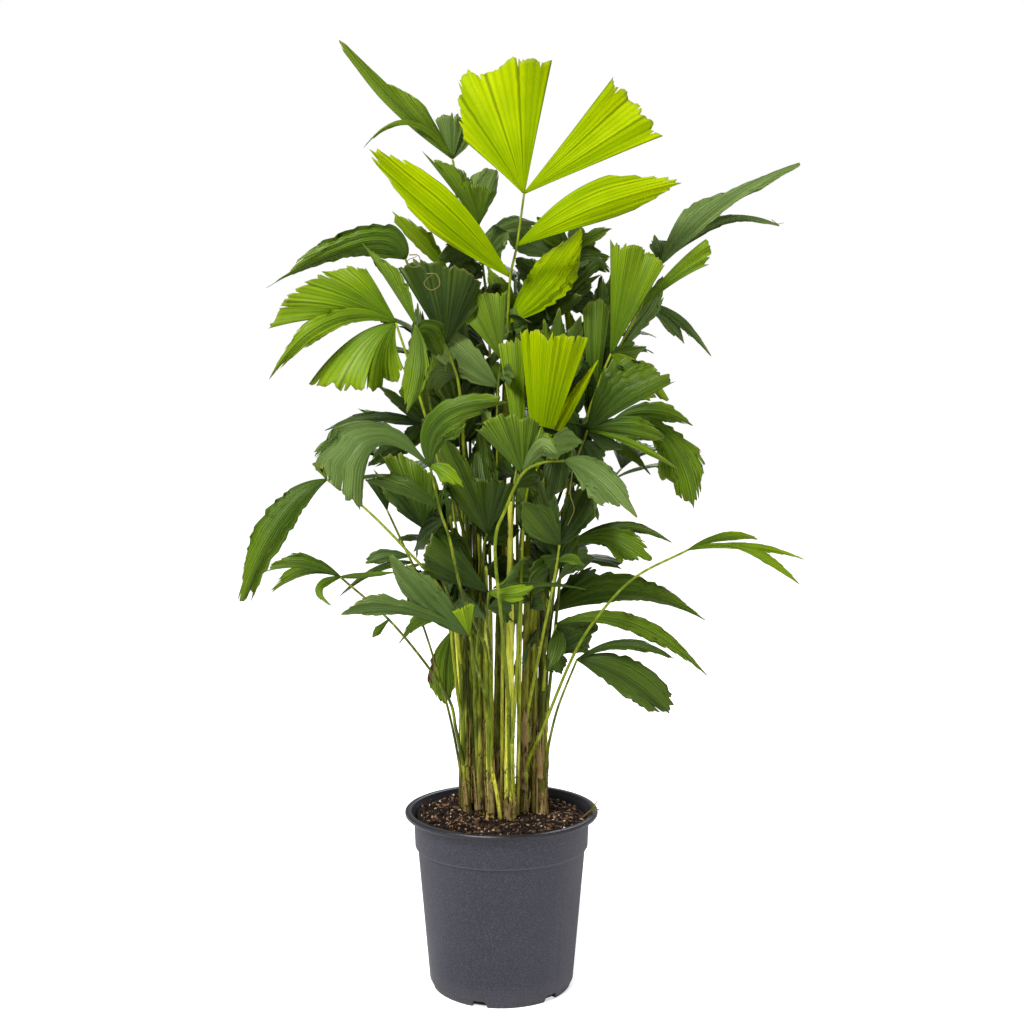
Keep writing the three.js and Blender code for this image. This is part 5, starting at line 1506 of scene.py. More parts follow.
@dataclass(frozen=True)
class GrainFinish:
    """A dull grainy finish, as of soil, grains and dry husks.

    scale is how fine its grain is, relief how high in metres, rarity how few limbs are light, patchy
    how strong its patches are, and length draws the grain out into upright fibres.
    """

    name: str
    dark: tuple
    light: tuple
    scale: float
    rough: float
    relief: float
    rarity: float = 1.5
    patchy: float = 0.35
    length: float = 1.0

    def make(self, effects: SharedEffects) -> bpy.types.Material:
        """Builds the grainy material."""
        finish = Finish(self.name)
        kit = finish.kit
        share = finish.mark()[0]
        drawn = kit.drawn_out(finish.place, 1 / self.length)
        patches, _ = finish.mottle(effects, self.scale, self.scale * 5, drawn)
        body = kit.lay(self.dark, self.light, patches, self.patchy)
        body = kit.mix(kit.math("POWER", share, self.rarity), body, self.light)
        finish.feed("Base Color", body)
        finish.feed("Roughness", self.rough)
        finish.feed("Specular IOR Level", 0.2)
        grain = kit.noise(drawn, self.scale * 4, 4.0, 0.7)
        finish.bump(grain, 0.6, self.relief)
        return finish.material


SOIL_FINISHES = (
    GrainFinish("soil_peat", (0.0025, 0.0017, 0.0014), (0.5, 0.28, 0.16), 170.0, 0.95, 0.0016, 11.0, 0.06),
    GrainFinish("soil_grain", (0.42, 0.33, 0.23), (0.75, 0.66, 0.52), 90.0, 0.85, 0.0004),
    GrainFinish("soil_bark", (0.09, 0.05, 0.028), (0.24, 0.15, 0.08), 120.0, 0.9, 0.0005),
)
HUSK_FINISH = GrainFinish(
    "dry_husk", (0.016, 0.01, 0.004), (0.4, 0.28, 0.1), 300.0, 0.85, 0.0016, 2.8, 1.0, 4.0
)
FIBRE_FINISH = GrainFinish("dry_fibre", (0.008, 0.005, 0.003), (0.07, 0.042, 0.018), 300.0, 0.9, 0.0002)
THREAD_FINISH = GrainFinish("dry_thread", (0.12, 0.1, 0.03), (0.3, 0.27, 0.09), 200.0, 0.8, 0.0002)


@dataclass(frozen=True)
class PotFinish:
    """Matte charcoal plastic with a fine grain, scuffs, dust at its foot, a painted highlight along the edge
    of its step and painted shade on its inner wall.

    The heights, in metres, are where the dust at the foot ends, where the painted highlight on the step's
    edge comes and goes, and where the dark lip begins.
    """

    body: tuple = (0.018, 0.0175, 0.031)
    worn: tuple = (0.04, 0.039, 0.058)
    fleck: tuple = (0.19, 0.19, 0.23)
    # dust at the foot, and also the colour of the painted highlight on the step's edge
    dust_and_glint: tuple = (0.12, 0.115, 0.11)
    # painted shade on the pot's inner wall
    inner: tuple = (0.006, 0.006, 0.008)
    lip: tuple = (0.009, 0.009, 0.013)
    foot_heights: tuple = (0.0, 0.03)
    # where the painted highlight on the step's edge begins and ends
    glint_start_heights: tuple = (0.172, 0.1724)
    glint_end_heights: tuple = (0.1734, 0.1746)
    lip_heights: tuple = (0.2085, 0.2115)

    def make(self, effects: SharedEffects) -> bpy.types.Material:
        """Builds the pot material."""
        finish = Finish("pot_plastic")
        kit = finish.kit
        patches, specks = finish.mottle(effects, 9.0, 420.0)
        grain = kit.noise(finish.place, 1500.0, 2.0, 0.6)
        body = kit.lay(self.body, self.worn, patches, 0.35)
        flecks = kit.noise(finish.place, 760.0, 2.0, 0.7)
        body = kit.lay(body, self.fleck, kit.ramp(flecks, 0.46, 0.7), 0.3)
        body = kit.lay(body, self.worn, specks, 0.35)
        height = kit.axis(finish.place, "Z")
        body = kit.lay(body, self.dust_and_glint, kit.rest(kit.ramp(height, *self.foot_heights)), 0.25)
        # a thin painted highlight along the step's edge, in the dust colour
        past_glint_start = kit.ramp(height, *self.glint_start_heights)
        before_glint_end = kit.rest(kit.ramp(height, *self.glint_end_heights))
        body = kit.lay(body, self.dust_and_glint, kit.times(past_glint_start, before_glint_end), 0.3)
        # painted shade on the inner wall, where the surface faces the pot's axis
        radial = kit.node("ShaderNodeVectorMath", operation="MULTIPLY")
        kit.join(finish.place, radial.inputs[0])
        radial.inputs[1].default_value = (1, 1, 0)
        shape = kit.node("ShaderNodeNewGeometry")
        facing = kit.node("ShaderNodeVectorMath", operation="DOT_PRODUCT")
        kit.join(radial.outputs[0], facing.inputs[0])
        kit.join(shape.outputs["Normal"], facing.inputs[1])
        inside = kit.math("LESS_THAN", facing.outputs["Value"], -0.02)
        body = kit.lay(body, self.inner, inside, 0.85)
        lip = kit.ramp(height, *self.lip_heights)
        body = kit.lay(body, self.lip, lip, 0.75)
        finish.feed("Base Color", body)
        rough = kit.math("ADD", 0.5, kit.times(patches, 0.1))
        finish.feed("Roughness", kit.math("SUBTRACT", rough, kit.times(lip, 0.26)))
        finish.feed("Specular IOR Level", 0.4)
        finish.bump(grain, 0.4, 0.0003)
        return finish.material


def deselect_all() -> None:
    """Clears the selection before an operator makes a piece."""
    for thing in bpy.context.selected_objects:
        thing.select_set(False)
    bpy.context.view_layer.objects.active = None


def only(piece: bpy.types.Object) -> None:
    """Selects one piece and makes it active."""
    deselect_all()
    piece.select_set(True)
    bpy.context.view_layer.objects.active = piece


def finish_piece(piece: bpy.types.Object, nodes: list) -> None:
    """Rides a piece on the root, hides the nodes it stands for, and reports it."""
    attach(piece, "root")
    if nodes:
        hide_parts(*nodes)
    log.info("%s: %d faces", piece.name, len(piece.data.polygons))


@dataclass
class Pot:
    """The tapered pot with its stepped band, lip and drain notches. Sizes in millimetres."""

    height: float = 216.6
    rim_radius: float = 120.0
    foot_radius: float = 86.5
    base_radius: float = 89.6
    base_height: float = 7.0
    step_height: float = 171.6
    step_radius: float = 104.4
    band_width: float = 3.2
    band_top_radius: float = 109.2
    lip: float = 5.6
    wall: float = 2.2
    floor: float = 3.0
    segments: int = 144
    notch_count: int = 6
    notch_width: float = 20.0
    notch_height: float = 8.0
    notch_depth: float = 14.0
    notch_narrowing: float = 0.68
    notch_sink: float = 1.2
    first_notch_deg: float = -107.0
    edge_round: float = 0.35
    edge_deg: float = 40.0
    smooth_deg: float = 32.0

    def profile(self) -> list:
        """The outline from the foot up, over the lip and down inside, as radius and height."""
        under = self.height - self.lip
        band = self.step_radius + self.band_width
        return [
            (self.foot_radius, 0),
            (self.base_radius - 1.2, self.base_height - 1),
            (self.base_radius, self.base_height),
            (self.step_radius, self.step_height),
            (band - 0.6, self.step_height + 0.5),
            (band, self.step_height + 1.4),
            (self.band_top_radius, under),
            (self.rim_radius - 1, under),
            (self.rim_radius, under + 1.2),
            (self.rim_radius, self.height - 1.4),
            (self.rim_radius - 1, self.height - 0.3),
            (self.rim_radius - 2.4, self.height),
            (self.band_top_radius + 4.6, self.height),
            (self.band_top_radius + 3.2, self.height - 0.6),
            (self.band_top_radius - self.wall + 0.6, under - 3.2),
            (self.band_top_radius - self.wall, under - 5),
            (band - self.wall, self.step_height + 1),
            (self.step_radius - self.wall, self.step_height),
            (self.base_radius - self.wall, self.base_height - 1),
            (self.base_radius - self.wall - 2, self.floor),
        ]

    def build(self) -> bpy.types.Object:
        """Models the pot from a disc by extruding and scaling it round the outline."""
        deselect_all()
        profile = self.profile()
        bpy.ops.mesh.primitive_circle_add(
            vertices=self.segments, radius=profile[0][0] * MM, fill_type="NGON", location=(0, 0, 0)
        )
        pot = bpy.context.active_object
        pot.name = "pot_body"
        bpy.ops.object.mode_set(mode="EDIT")
        bpy.ops.mesh.select_all(action="SELECT")
        for (r0, z0), (r1, z1) in zip(profile, profile[1:]):
            bpy.ops.mesh.extrude_region_move(TRANSFORM_OT_translate={"value": (0, 0, (z1 - z0) * MM)})
            bpy.ops.transform.resize(value=(r1 / r0, r1 / r0, 1), center_override=(0, 0, z1 * MM))
        bpy.ops.mesh.select_all(action="SELECT")
        bpy.ops.mesh.normals_make_consistent(inside=False)
        bpy.ops.object.mode_set(mode="OBJECT")
        for number in range(self.notch_count):
            self.cut_notch(pot, self.first_notch_deg + number * 360 / self.notch_count)
        self.soften(pot)
        return pot

    def cut_notch(self, pot: bpy.types.Object, heading: float) -> None:
        """Cuts one drain notch, narrower at its top, through the foot at a heading in degrees."""
        deselect_all()
        angle = math.radians(heading)
        reach = (self.base_radius - 3) * MM
        middle = (self.notch_height / 2 - self.notch_sink / 2) * MM
        bpy.ops.mesh.primitive_cube_add(size=1, location=(0, 0, 0))
        cutter = bpy.context.active_object
        bpy.ops.object.mode_set(mode="EDIT")
        bpy.ops.mesh.select_all(action="SELECT")
        size = (self.notch_depth * MM, self.notch_width * MM, (self.notch_height + self.notch_sink) * MM)
        bpy.ops.transform.resize(value=size, center_override=(0, 0, 0))
        bpy.ops.object.mode_set(mode="OBJECT")
        for vertex in cutter.data.vertices:
            if vertex.co.z > 0:
                vertex.co.y *= self.notch_narrowing
        cutter.rotation_euler = (0, 0, angle)
        cutter.location = (reach * math.cos(angle), reach * math.sin(angle), middle)
        bpy.ops.object.transform_apply(location=True, rotation=True, scale=True)
        only(pot)
        cut = pot.modifiers.new("notch", "BOOLEAN")
        cut.operation = "DIFFERENCE"
        cut.solver = "EXACT"
        cut.object = cutter
        bpy.ops.object.modifier_apply(modifier=cut.name)
        bpy.data.objects.remove(cutter)

    def soften(self, pot: bpy.types.Object) -> None:
        """Rounds the sharp edges a little and shades the curved walls smooth."""
        only(pot)
        bevel = pot.modifiers.new("soft_edges", "BEVEL")
        bevel.width = self.edge_round * MM
        bevel.segments = 2
        bevel.limit_method = "ANGLE"
        bevel.angle_limit = math.radians(self.edge_deg)
        bpy.ops.object.modifier_apply(modifier=bevel.name)
        bpy.ops.object.shade_smooth_by_angle(angle=math.radians(self.smooth_deg))

    def dress(self, pot: bpy.types.Object, effects: SharedEffects) -> None:
        """Gives the pot its plastic and its place in the frame."""
        pot.data.materials.clear()
        pot.data.materials.append(PotFinish().make(effects))
        finish_piece(pot, ["pot"])


def icosahedron() -> tuple:
    """Corners and faces of a ball of twenty triangles, of radius one."""
    g = (1 + math.sqrt(5)) / 2
    upright = [(-1, g, 0), (1, g, 0), (-1, -g, 0), (1, -g, 0)]
    corners = upright + [(c, a, b) for a, b, c in upright] + [(b, c, a) for a, b, c in upright]
    faces = [
        (0, 11, 5), (0, 5, 1), (0, 1, 7), (0, 7, 10), (0, 10, 11), (1, 5, 9), (5, 11, 4), (11, 10, 2),
        (10, 7, 6), (7, 1, 8), (3, 9, 4), (3, 4, 2), (3, 2, 6), (3, 6, 8), (3, 8, 9), (4, 9, 5), (2, 4, 11),
        (6, 2, 10), (8, 6, 7), (9, 8, 1),
    ]
    return unit(np.array(corners, float)), faces


@dataclass
class Soil:
    """Coarse peat with crumbs, pale grains and bits of bark. Sizes in millimetres."""

    wall_radius: float = 101.9
    wall_top: float = 172.0
    rim_radius: float = 105.0
    floor_radius: float = 85.2
    floor: float = 3.3
    rings: int = 44
    segments: int = 132
    crumbs: int = 6200
    grains: int = 420
    chips: int = 210
    crumb_seed: int = 11
    grain_seed: int = 23
    chip_seed: int = 71
    chip_sides: int = 5
    flatness: float = 0.8
    roughness: float = 1.5
    bedding: float = 0.35
    grain_scale: float = 100.0

    def height(self, x: float, y: float) -> float:
        """Height of the rough surface."""
        waves = math.sin(x / 4.1 + 1.3 * math.sin(y / 5.3)) * math.cos(y / 3.7 + math.sin(x / 6.1))
        return soil_height(x, y) + self.roughness * waves

    def bed(self, builder: SheetBuilder) -> None:
        """The plug of soil with its rough top."""
        points, faces = [(0, 0, self.floor)], []
        for radius, height in ((self.floor_radius, self.floor), (self.wall_radius, self.wall_top)):
            points += self.ring(radius, lambda x, y, h=height: h)
        for number in range(self.rings, 0, -1):
            points += self.ring(self.rim_radius * number / self.rings, self.height)
        points.append((0, 0, self.height(0, 0)))
        n, rows = self.segments, self.rings + 2
        last = 1 + (rows - 1) * n
        for k in range(n):
            faces.append((0, 1 + (k + 1) % n, 1 + k))
            faces.append((last + k, last + (k + 1) % n, len(points) - 1))
        for row in range(rows - 1):
            for k in range(n):
                a, b = 1 + row * n + k, 1 + row * n + (k + 1) % n
                faces.append((a, b, b + n, a + n))
        points = np.array(points, float)
        mark = np.zeros((len(points), 4))
        mark[:, 3] = 1
        builder.add(points, faces, points[:, :2] / self.grain_scale, mark, 0, [False] * len(faces))

    def ring(self, radius: float, height: object) -> list:
        """One ring of points at a radius, each at the height of its place."""
        turns = [2 * math.pi * k / self.segments for k in range(self.segments)]
        spots = [(radius * math.cos(a), radius * math.sin(a)) for a in turns]
        return [(x, y, height(x, y)) for x, y in spots]

    def scatter(self, builder: SheetBuilder, count: int, low: float, high: float, seed: int) -> None:
        """Strews small rough lumps over the surface.

        Args:
            builder: what they are joined into.
            count: how many.
            low: smallest radius.
            high: largest radius.
            seed: start of the random numbers.
        """
        rng = np.random.default_rng(seed)
        lump, faces = icosahedron()
        corners, flat = len(lump), self.flatness
        for _ in range(count):
            away = (self.rim_radius - 3) * math.sqrt(rng.uniform())
            turn = rng.uniform(0, 2 * math.pi)
            x, y = away * math.cos(turn), away * math.sin(turn)
            size = low + (high - low) * rng.uniform() ** 3
            spin = rng.uniform(0, 2 * math.pi)
            shape = lump * rng.uniform(0.4, 1.6, (corners, 1)) * size * (1, rng.uniform(0.35, 1.1), flat)
            cosine, sine = math.cos(spin), math.sin(spin)
            turned = shape @ np.array(((cosine, sine, 0), (-sine, cosine, 0), (0, 0, 1)))
            spot = turned + (x, y, self.height(x, y) + self.bedding * size * flat)
            mark = np.tile((rng.uniform(), 0, 0, 1), (corners, 1))
            builder.add(spot, faces, spot[:, :2] / self.grain_scale, mark, 0, [False] * len(faces))

    def sticks(self, builder: SheetBuilder) -> None:
        """Lays short bits of bark and root on the surface."""
        rng = np.random.default_rng(self.chip_seed)
        for _ in range(self.chips):
            away = (self.rim_radius - 8) * math.sqrt(rng.uniform())
            turn, lie = rng.uniform(0, 2 * math.pi, 2)
            x, y = away * math.cos(turn), away * math.sin(turn)
            length = rng.uniform(5, 14)
            start = np.array((x, y, self.height(x, y) + 0.8))
            end = start + (length * math.cos(lie), length * math.sin(lie), rng.uniform(-0.5, 3))
            middle = (start + end) / 2 + rng.uniform(-1, 1, 3)
            line = Curve([start, middle, end])
            t = np.linspace(0, 1, 5)
            girth = rng.uniform(0.35, 1.1) * np.array((0.5, 1, 1, 0.9, 0.4))
            builder.tube(line.at(t), line.way(t), girth, self.chip_sides, rng.uniform(), 0)

    def build(self, effects: SharedEffects) -> None:
        """Builds and dresses the three pieces of the soil."""
        peat, grain, bark = (finish.make(effects) for finish in SOIL_FINISHES)
        bed, pale, bits = SheetBuilder(), SheetBuilder(), SheetBuilder()
        self.bed(bed)
        self.scatter(bed, self.crumbs, 0.5, 3.0, self.crumb_seed)
        finish_piece(bed.build("soil_bed", [peat]), ["soil"])
        self.scatter(pale, self.grains, 0.5, 1.9, self.grain_seed)
        finish_piece(pale.build("soil_grains", [grain]), [])
        self.sticks(bits)
        finish_piece(bits.build("soil_chips", [bark]), [])


@dataclass
class Canes:
    """The clump of canes with their rings, bark relief and dry husks at the foot."""

    grower: Grower
    sides: int = 16
    row_length: float = 3.5
    ring_gap: float = 46.0
    husk_count: int = 14
    fibre_count: int = 52
    young_husks: int = 4

    def cane(self, letter: str, finishes: dict) -> None:
        """Builds one cane with its husks."""
        cane = self.grower.canes[letter]
        rng = np.random.default_rng(ord(letter))
        length = cane.height
        rows = int(length / self.row_length)
        t = np.linspace(0, 1, rows + 1)
        along = t * length
        radius = cane.radius(t)
        phase = rng.uniform(0, self.ring_gap)
        ring = np.exp(-(((along + phase) % self.ring_gap - self.ring_gap / 2) / 2.0) ** 2)
        turn = 2 * math.pi * np.arange(self.sides) / self.sides
        lumps = np.sin(3 * turn[None] + along[:, None] / 17 + phase)
        lumps = lumps + np.sin(5 * turn[None] - along[:, None] / 9)
        rough = 0.03 * rng.standard_normal((rows + 1, self.sides)) * np.exp(-along / 90)[:, None]
        bark = 0.022 * lumps + rough
        builder = SheetBuilder()
        body = radius[:, None] * (1 + 0.1 * ring[:, None] + bark)
        body[-1] *= 0.6
        tone = cane.row.tone
        tint = rng.uniform(0.85, 1) if tone == Tone.LIME else rng.uniform()
        builder.tube(cane.at(t), cane.way(t), body, self.sides, tint, 0)
        husks = {Tone.LIME: self.young_husks, Tone.DEEP: self.husk_count}.get(tone, self.husk_count // 2)
        for number in range(husks):
            self.husk(builder, cane, rng, number)
        self.fibres(builder, cane, rng)
        kind = {Tone.LIME: "cane_yellow", Tone.DEEP: "cane_brown"}.get(tone, "cane_green")
        materials = [finishes[key] for key in (kind, "husk", "fibre")]
        piece = builder.build("stem_" + letter, materials)
        finish_piece(piece, ["cane_" + letter])

    def husk(self, builder: SheetBuilder, cane: Cane, rng: np.random.Generator, number: int) -> None:
        """Adds a dry strip of old sheath that hugs the cane and frays at its top."""
        length = cane.height
        start = rng.uniform(2, 20) if number < 4 else rng.uniform(20, 110)
        tall = rng.uniform(18, 80)
        if start + tall > 0.8 * length:
            return
        centre = 2 * math.pi * (number / 4 + rng.uniform(-0.1, 0.1))
        half = rng.uniform(0.3, 1.1)
        columns, rows = 7, 14
        u = np.linspace(-1, 1, columns)
        v = np.linspace(0, 1, rows)
        frayed = 1 - rng.uniform(0, 0.5, columns)
        along = start + tall * v[None] * frayed[:, None]
        t = along / length
        ways = cane.way(v * tall / length)
        first, second = frames_along(ways)
        angle = centre + half * u[:, None] * (1 - 0.45 * v[None])
        curl = 0.3 * rng.standard_normal((columns, rows)) * v[None]
        lift = 0.5 + 0.16 * number + 1.6 * v[None] ** 3 + curl
        ring = first[None] * np.cos(angle)[..., None] + second[None] * np.sin(angle)[..., None]
        reach = (cane.radius(t) * 1.06 + lift)[..., None]
        outer = cane.at(t) + ring * reach
        inner = cane.at(t) + ring * (reach - 0.5)
        uv = np.stack(np.broadcast_arrays(u[:, None], v[None]), -1)
        builder.sheet(outer, inner, uv, rng.uniform(), np.broadcast_to(v[None], (columns, rows)), 1)

    def fibres(self, builder: SheetBuilder, cane: Cane, rng: np.random.Generator) -> None:
        """Adds short dark fibres that stand off the foot of the cane."""
        length = cane.height
        first, second = frames_along(cane.way(np.zeros(1)))
        for _ in range(self.fibre_count):
            t = np.array(rng.uniform(2, 150) * rng.uniform(0.3, 1) / length)
            turn = rng.uniform(0, 2 * math.pi)
            out = first[0] * math.cos(turn) + second[0] * math.sin(turn)
            aside = np.cross(out, UP) * rng.uniform(-0.7, 0.7)
            start = cane.at(t) + out * cane.radius(t) * 0.96
            tall = rng.uniform(5, 15)
            points = [start]
            for down, near, far in ((-0.6, 0.6, 1.6), (-0.5, 0.2, 2.6)):
                climb = (UP * rng.choice((down, 0.8)) + aside) * tall * 0.5
                points.append(points[-1] + climb + out * rng.uniform(near, far))
            line = Curve(points)
            place = np.linspace(0, 1, 4)
            builder.tube(line.at(place), line.way(place), 0.55 - 0.35 * place, 4, rng.uniform(), 2)

    def build(self, effects: SharedEffects, finishes: dict) -> None:
        """Builds and dresses every cane."""
        finishes["fibre"] = FIBRE_FINISH.make(effects)
        finishes["husk"] = HUSK_FINISH.make(effects)
        for letter in self.grower.canes:
            self.cane(letter, finishes)


@dataclass
class Shoots:
    """Young shoots, thin stalks, the sprig and the dry threads that hang in the crown.

    gaps are the places across where no shaded stalk stands, so that one sees through the clump.
    """

    sides: int = 10
    steps: int = 9
    shaded_count: int = 27
    shaded_seed: int = 313
    shaded_foot: float = 205.0
    gaps: tuple = ((-15.0, -7.0), (13.0, 27.0), (34.0, 42.0))

    def shaded(self) -> list:
        """Rows for thin stalks that stand in the shade between the canes."""
        rng = np.random.default_rng(self.shaded_seed)
        rows, low = [], self.shaded_foot
        for number in range(self.shaded_count):
            x = -54 + 108 * (number + rng.uniform(0.2, 0.8)) / self.shaded_count
            y = rng.uniform(-8, 46)
            tall = rng.uniform(500, 620)
            middle = (x * 1.08 + rng.normal(0, 3), y * 1.1 + 3, low + (tall - low) * 0.5)
            top = (x * 1.25 + rng.normal(0, 6), y * 1.2 + 12, tall)
            girth = (rng.uniform(2.2, 3.4), 1.4)
            if not any(left < middle[0] < right for left, right in self.gaps):
                rows.append(([(x, y, low), middle, top], girth))
        return rows

    def limbs(self, name: str, rows: list, fade: float, finish: bpy.types.Material) -> None:
        """Builds and dresses one piece with a round limb for each row of points and end radii.

        Args:
            name: name of the piece.
            rows: the limbs.
            fade: how soon a limb gets thinner; 1 is evenly.
            finish: its material.
        """
        builder = SheetBuilder()
        for number, (points, radii) in enumerate(rows):
            line = Curve([np.array(point, float) for point in points])
            t = np.linspace(0, 1, self.steps * line.count)
            girth = np.interp(t**fade, (0, 1), radii)
            builder.tube(line.at(t), line.way(t), girth, self.sides, 0.37 * number % 1, 0)
        finish_piece(builder.build(name, [finish]), [])

    def build(self, effects: SharedEffects, finishes: dict) -> None:
        """Builds and dresses the shoots and the threads."""
        self.limbs("young_shoots", SHOOTS, 0.8, finishes["cane_yellow"])
        self.limbs("shaded_stalks", self.shaded(), 0.8, finishes["cane_brown"])
        self.limbs("leaning_stalks", LEANING, 0.8, finishes["stalk_green"])
        self.limbs("rim_sprig", SPRIG, 1.0, finishes["cane_brown"])
        rows = [([seen(*point) for point in points], (girth, 0.5 * girth)) for points, girth in THREADS]
        self.limbs("dry_threads", rows, 1.0, THREAD_FINISH.make(effects))


@dataclass
class Crown:
    """All the fronds: round stalks and thin pleated leaflets with ragged ends. Sizes in millimetres.

    Leaflets of the usual length and longer have the full tooth and bite, shorter ones less. The core
    is where the inner leaves grow: its heights, and its reach to either side.
    """

    grower: Grower
    sheet: float = 0.45
    fold_pitch: float = 11.0
    most_folds: int = 8
    tooth: float = 13.0
    bite: float = 12.5
    column_pitch: float = 2.6
    most_columns: int = 72
    row_pitch: float = 6.2
    step: float = 0.22
    inner_count: int = 5
    core_heights: tuple = (440.0, 930.0)
    core_reach: float = 95.0
    sheath_gap: float = 0.4
    sheath_rows: int = 16
    stalk_rows: int = 7
    stalk_sides: int = 9
    stalk_slimness: float = 0.9
    usual_length: float = 110.0
    frond_seed: int = 500
    inner_seed: int = 9000
    leaf_seeds: int = 1000

    def margin(self, leaf: GrownLeaf, rng: np.random.Generator) -> tuple:
        """Sets out the teeth along the bitten end of a leaflet.

        Args:
            leaf: the leaflet in space.
            rng: its random numbers.

        Returns:
            Where the columns of the sheet run, 0 to 1, and how far each reaches, as a share of its rib.
        """
        sample = np.linspace(0, 1, 121)
        ends, _ = leaf.place(sample, np.ones(121))
        run = np.concatenate(((0.0,), np.cumsum(np.linalg.norm(np.diff(ends, axis=0), axis=1))))
        size = min(max(leaf.length / self.usual_length, 0.35), 1) * leaf.row.ragged
        gap = self.tooth * min(max(leaf.length / self.usual_length, 0.5), 1)
        coarse = self.bites(run[-1], gap, self.bite * size, 0.45 * self.bite * size, rng)
        if leaf.row.teeth:
            coarse = ([0, run[-1]], [0, 0])
        fine = self.bites(run[-1], gap / 3, 0.26 * self.bite * size, 0.4, rng)
        slits = self.slits(run[-1], 0.6 * min(size, 1), rng)
        columns = int(min(max(run[-1] / self.column_pitch, 8), self.most_columns))
        knots = coarse[0]
        if leaf.row.teeth:
            knots = np.interp([place for place, _ in leaf.row.teeth], sample, run)
        even = np.linspace(0, run[-1], columns + 1)
        places = np.unique(np.round(np.concatenate((even, knots, slits[0])), 2))
        places = places[np.concatenate(((True,), np.diff(places) > 0.3))]
        places[-1] = run[-1]
        u = np.interp(places, run, sample)
        depth = np.interp(places, *coarse) + np.interp(places, *fine) + np.interp(places, *slits)
        ribs = np.maximum(leaf.length * leaf.rib_length(u), 12)
        return u, 1 + (1.5 - np.minimum(depth, 0.4 * ribs)) / ribs

    @staticmethod
    def slits(total: float, size: float, rng: np.random.Generator) -> tuple:
        """Narrow tears along the ribs, as places along the edge and the depth at each."""
        count = int(total / 38 + rng.uniform())
        centres = (np.arange(count) + rng.uniform(0.2, 0.8, count)) * total / max(count, 1)
        places, depths = [0.0], [0.0]
        for centre in centres:
            deep = size * rng.uniform(4, 22)
            places += [centre - 1.6, centre, centre + 1.3]
            depths += [0.0, deep, 0.0]
        return np.array([*places, total]), np.array([*depths, 0.0])

    @staticmethod
    def bites(total: float, gap: float, deep: float, shallow: float, rng: np.random.Generator) -> tuple:
        """Uneven teeth along an edge.

        Args:
            total: length of the edge.
            gap: usual distance from tooth to tooth.
            deep: greatest depth between two teeth.
            shallow: greatest depth of a tooth's own point.
            rng: random numbers.

        Returns:
            Places along the edge and the depth at each.
        """
        count = max(int(total / gap), 2)
        steps = rng.uniform(0.35, 1.65, count)
        peaks = np.concatenate(((0.0,), np.cumsum(steps))) * total / steps.sum()
        gaps = np.diff(peaks)
        valleys = peaks[:-1] + rng.choice((0.12, 0.3, 0.7, 0.88), count) * gaps
        bites = deep * rng.uniform(0.15, 1.0, count) ** 1.3 * np.sqrt(gaps / gap)
        places = np.concatenate((peaks, valleys))
        depths = np.concatenate((rng.uniform(0, shallow, count + 1), bites))
        order = np.argsort(places)
        return places[order], depths[order]

    def leaflet(self, builder: SheetBuilder, leaf: GrownLeaf, seed: int, slot: int) -> None:
        """Adds one leaflet with its pleats, teeth and waves.

        Args:
            builder: what it is joined into.
            leaf: the leaflet in space.
            seed: start of its random numbers.
            slot: number of its finish.
        """
        rng = np.random.default_rng(seed)
        row = leaf.row
        widest = float(leaf.span(np.linspace(0.1, 1, 10)).max())
        folds = row.folds or int(min(max(round(widest / self.fold_pitch), 2), self.most_folds))
        rows = int(min(max(leaf.length / self.row_pitch, 9), 36))
        u, stretch = self.margin(leaf, rng)
        t = np.linspace(0, 1, rows + 1) ** 0.9
        grid_u, grid_t = np.meshgrid(u, t, indexing="ij")
        bitten = 1 + (stretch[:, None] - 1) * grid_t**2
        point, normal = leaf.place(grid_u, grid_t, bitten)
        if not row.spread and row.grows != Growth.WEDGE and not row.teeth:
            reach = grid_t * bitten * leaf.rib_length(u)[:, None]
            middle, _ = leaf.place(row.tail, reach)
            share = np.where(grid_u < row.tail, self.steps(leaf, reach, rng), self.steps(leaf, reach, rng))
            point = middle + (point - middle) * share[..., None]
        pitch = leaf.span(np.clip(grid_t, 0, 1)) / folds
        wave = 1 - 4 * np.abs((grid_u * folds + 0.5) % 1 - 0.5)
        fine = np.cos(2 * math.pi * grid_u * folds * 3)
        grown = np.clip(grid_t * 4, 0, 1)
        height = row.pleat * (0.085 * wave + 0.014 * fine) * np.minimum(pitch, 14) * grown
        phase = rng.uniform(0, 2 * math.pi, 4)
        waves = rng.uniform(1.2, 2.6)
        height = height + 0.07 * widest * np.sin(2 * math.pi * waves * grid_u / 2 + phase[0]) * grid_t**2
        height = height + 0.045 * widest * np.sin(2 * math.pi * waves * grid_u + phase[2]) * grid_t**5
        sway = np.sin(2.6 * math.pi * grid_t + phase[1])
        height = height + 0.03 * leaf.length * sway * grid_t * (1 - grid_t)
        height = height - 0.05 * leaf.length * rng.uniform(0.2, 1.4) * grid_t**3
        point = point + normal * height[..., None]
        uv = np.stack((grid_u * folds + rng.integers(0, 40), grid_t * leaf.length / 40), -1)
        half = normal * self.sheet / 2
        dry = np.zeros(grid_u.shape)
        for across, run, size in row.dry:
            away = np.hypot((grid_u - across) * widest / leaf.length, grid_t - run) / size
            dry = np.maximum(dry, np.clip(1.5 - 1.5 * away, 0, 1))
        # some given tints paint light on a leaflet and others paint shade; without one the tint is drawn at
        # random
        tint = rng.uniform() if row.tint is None else row.tint
        builder.sheet(point + half, point - half, uv, tint, grid_t, slot, dry)

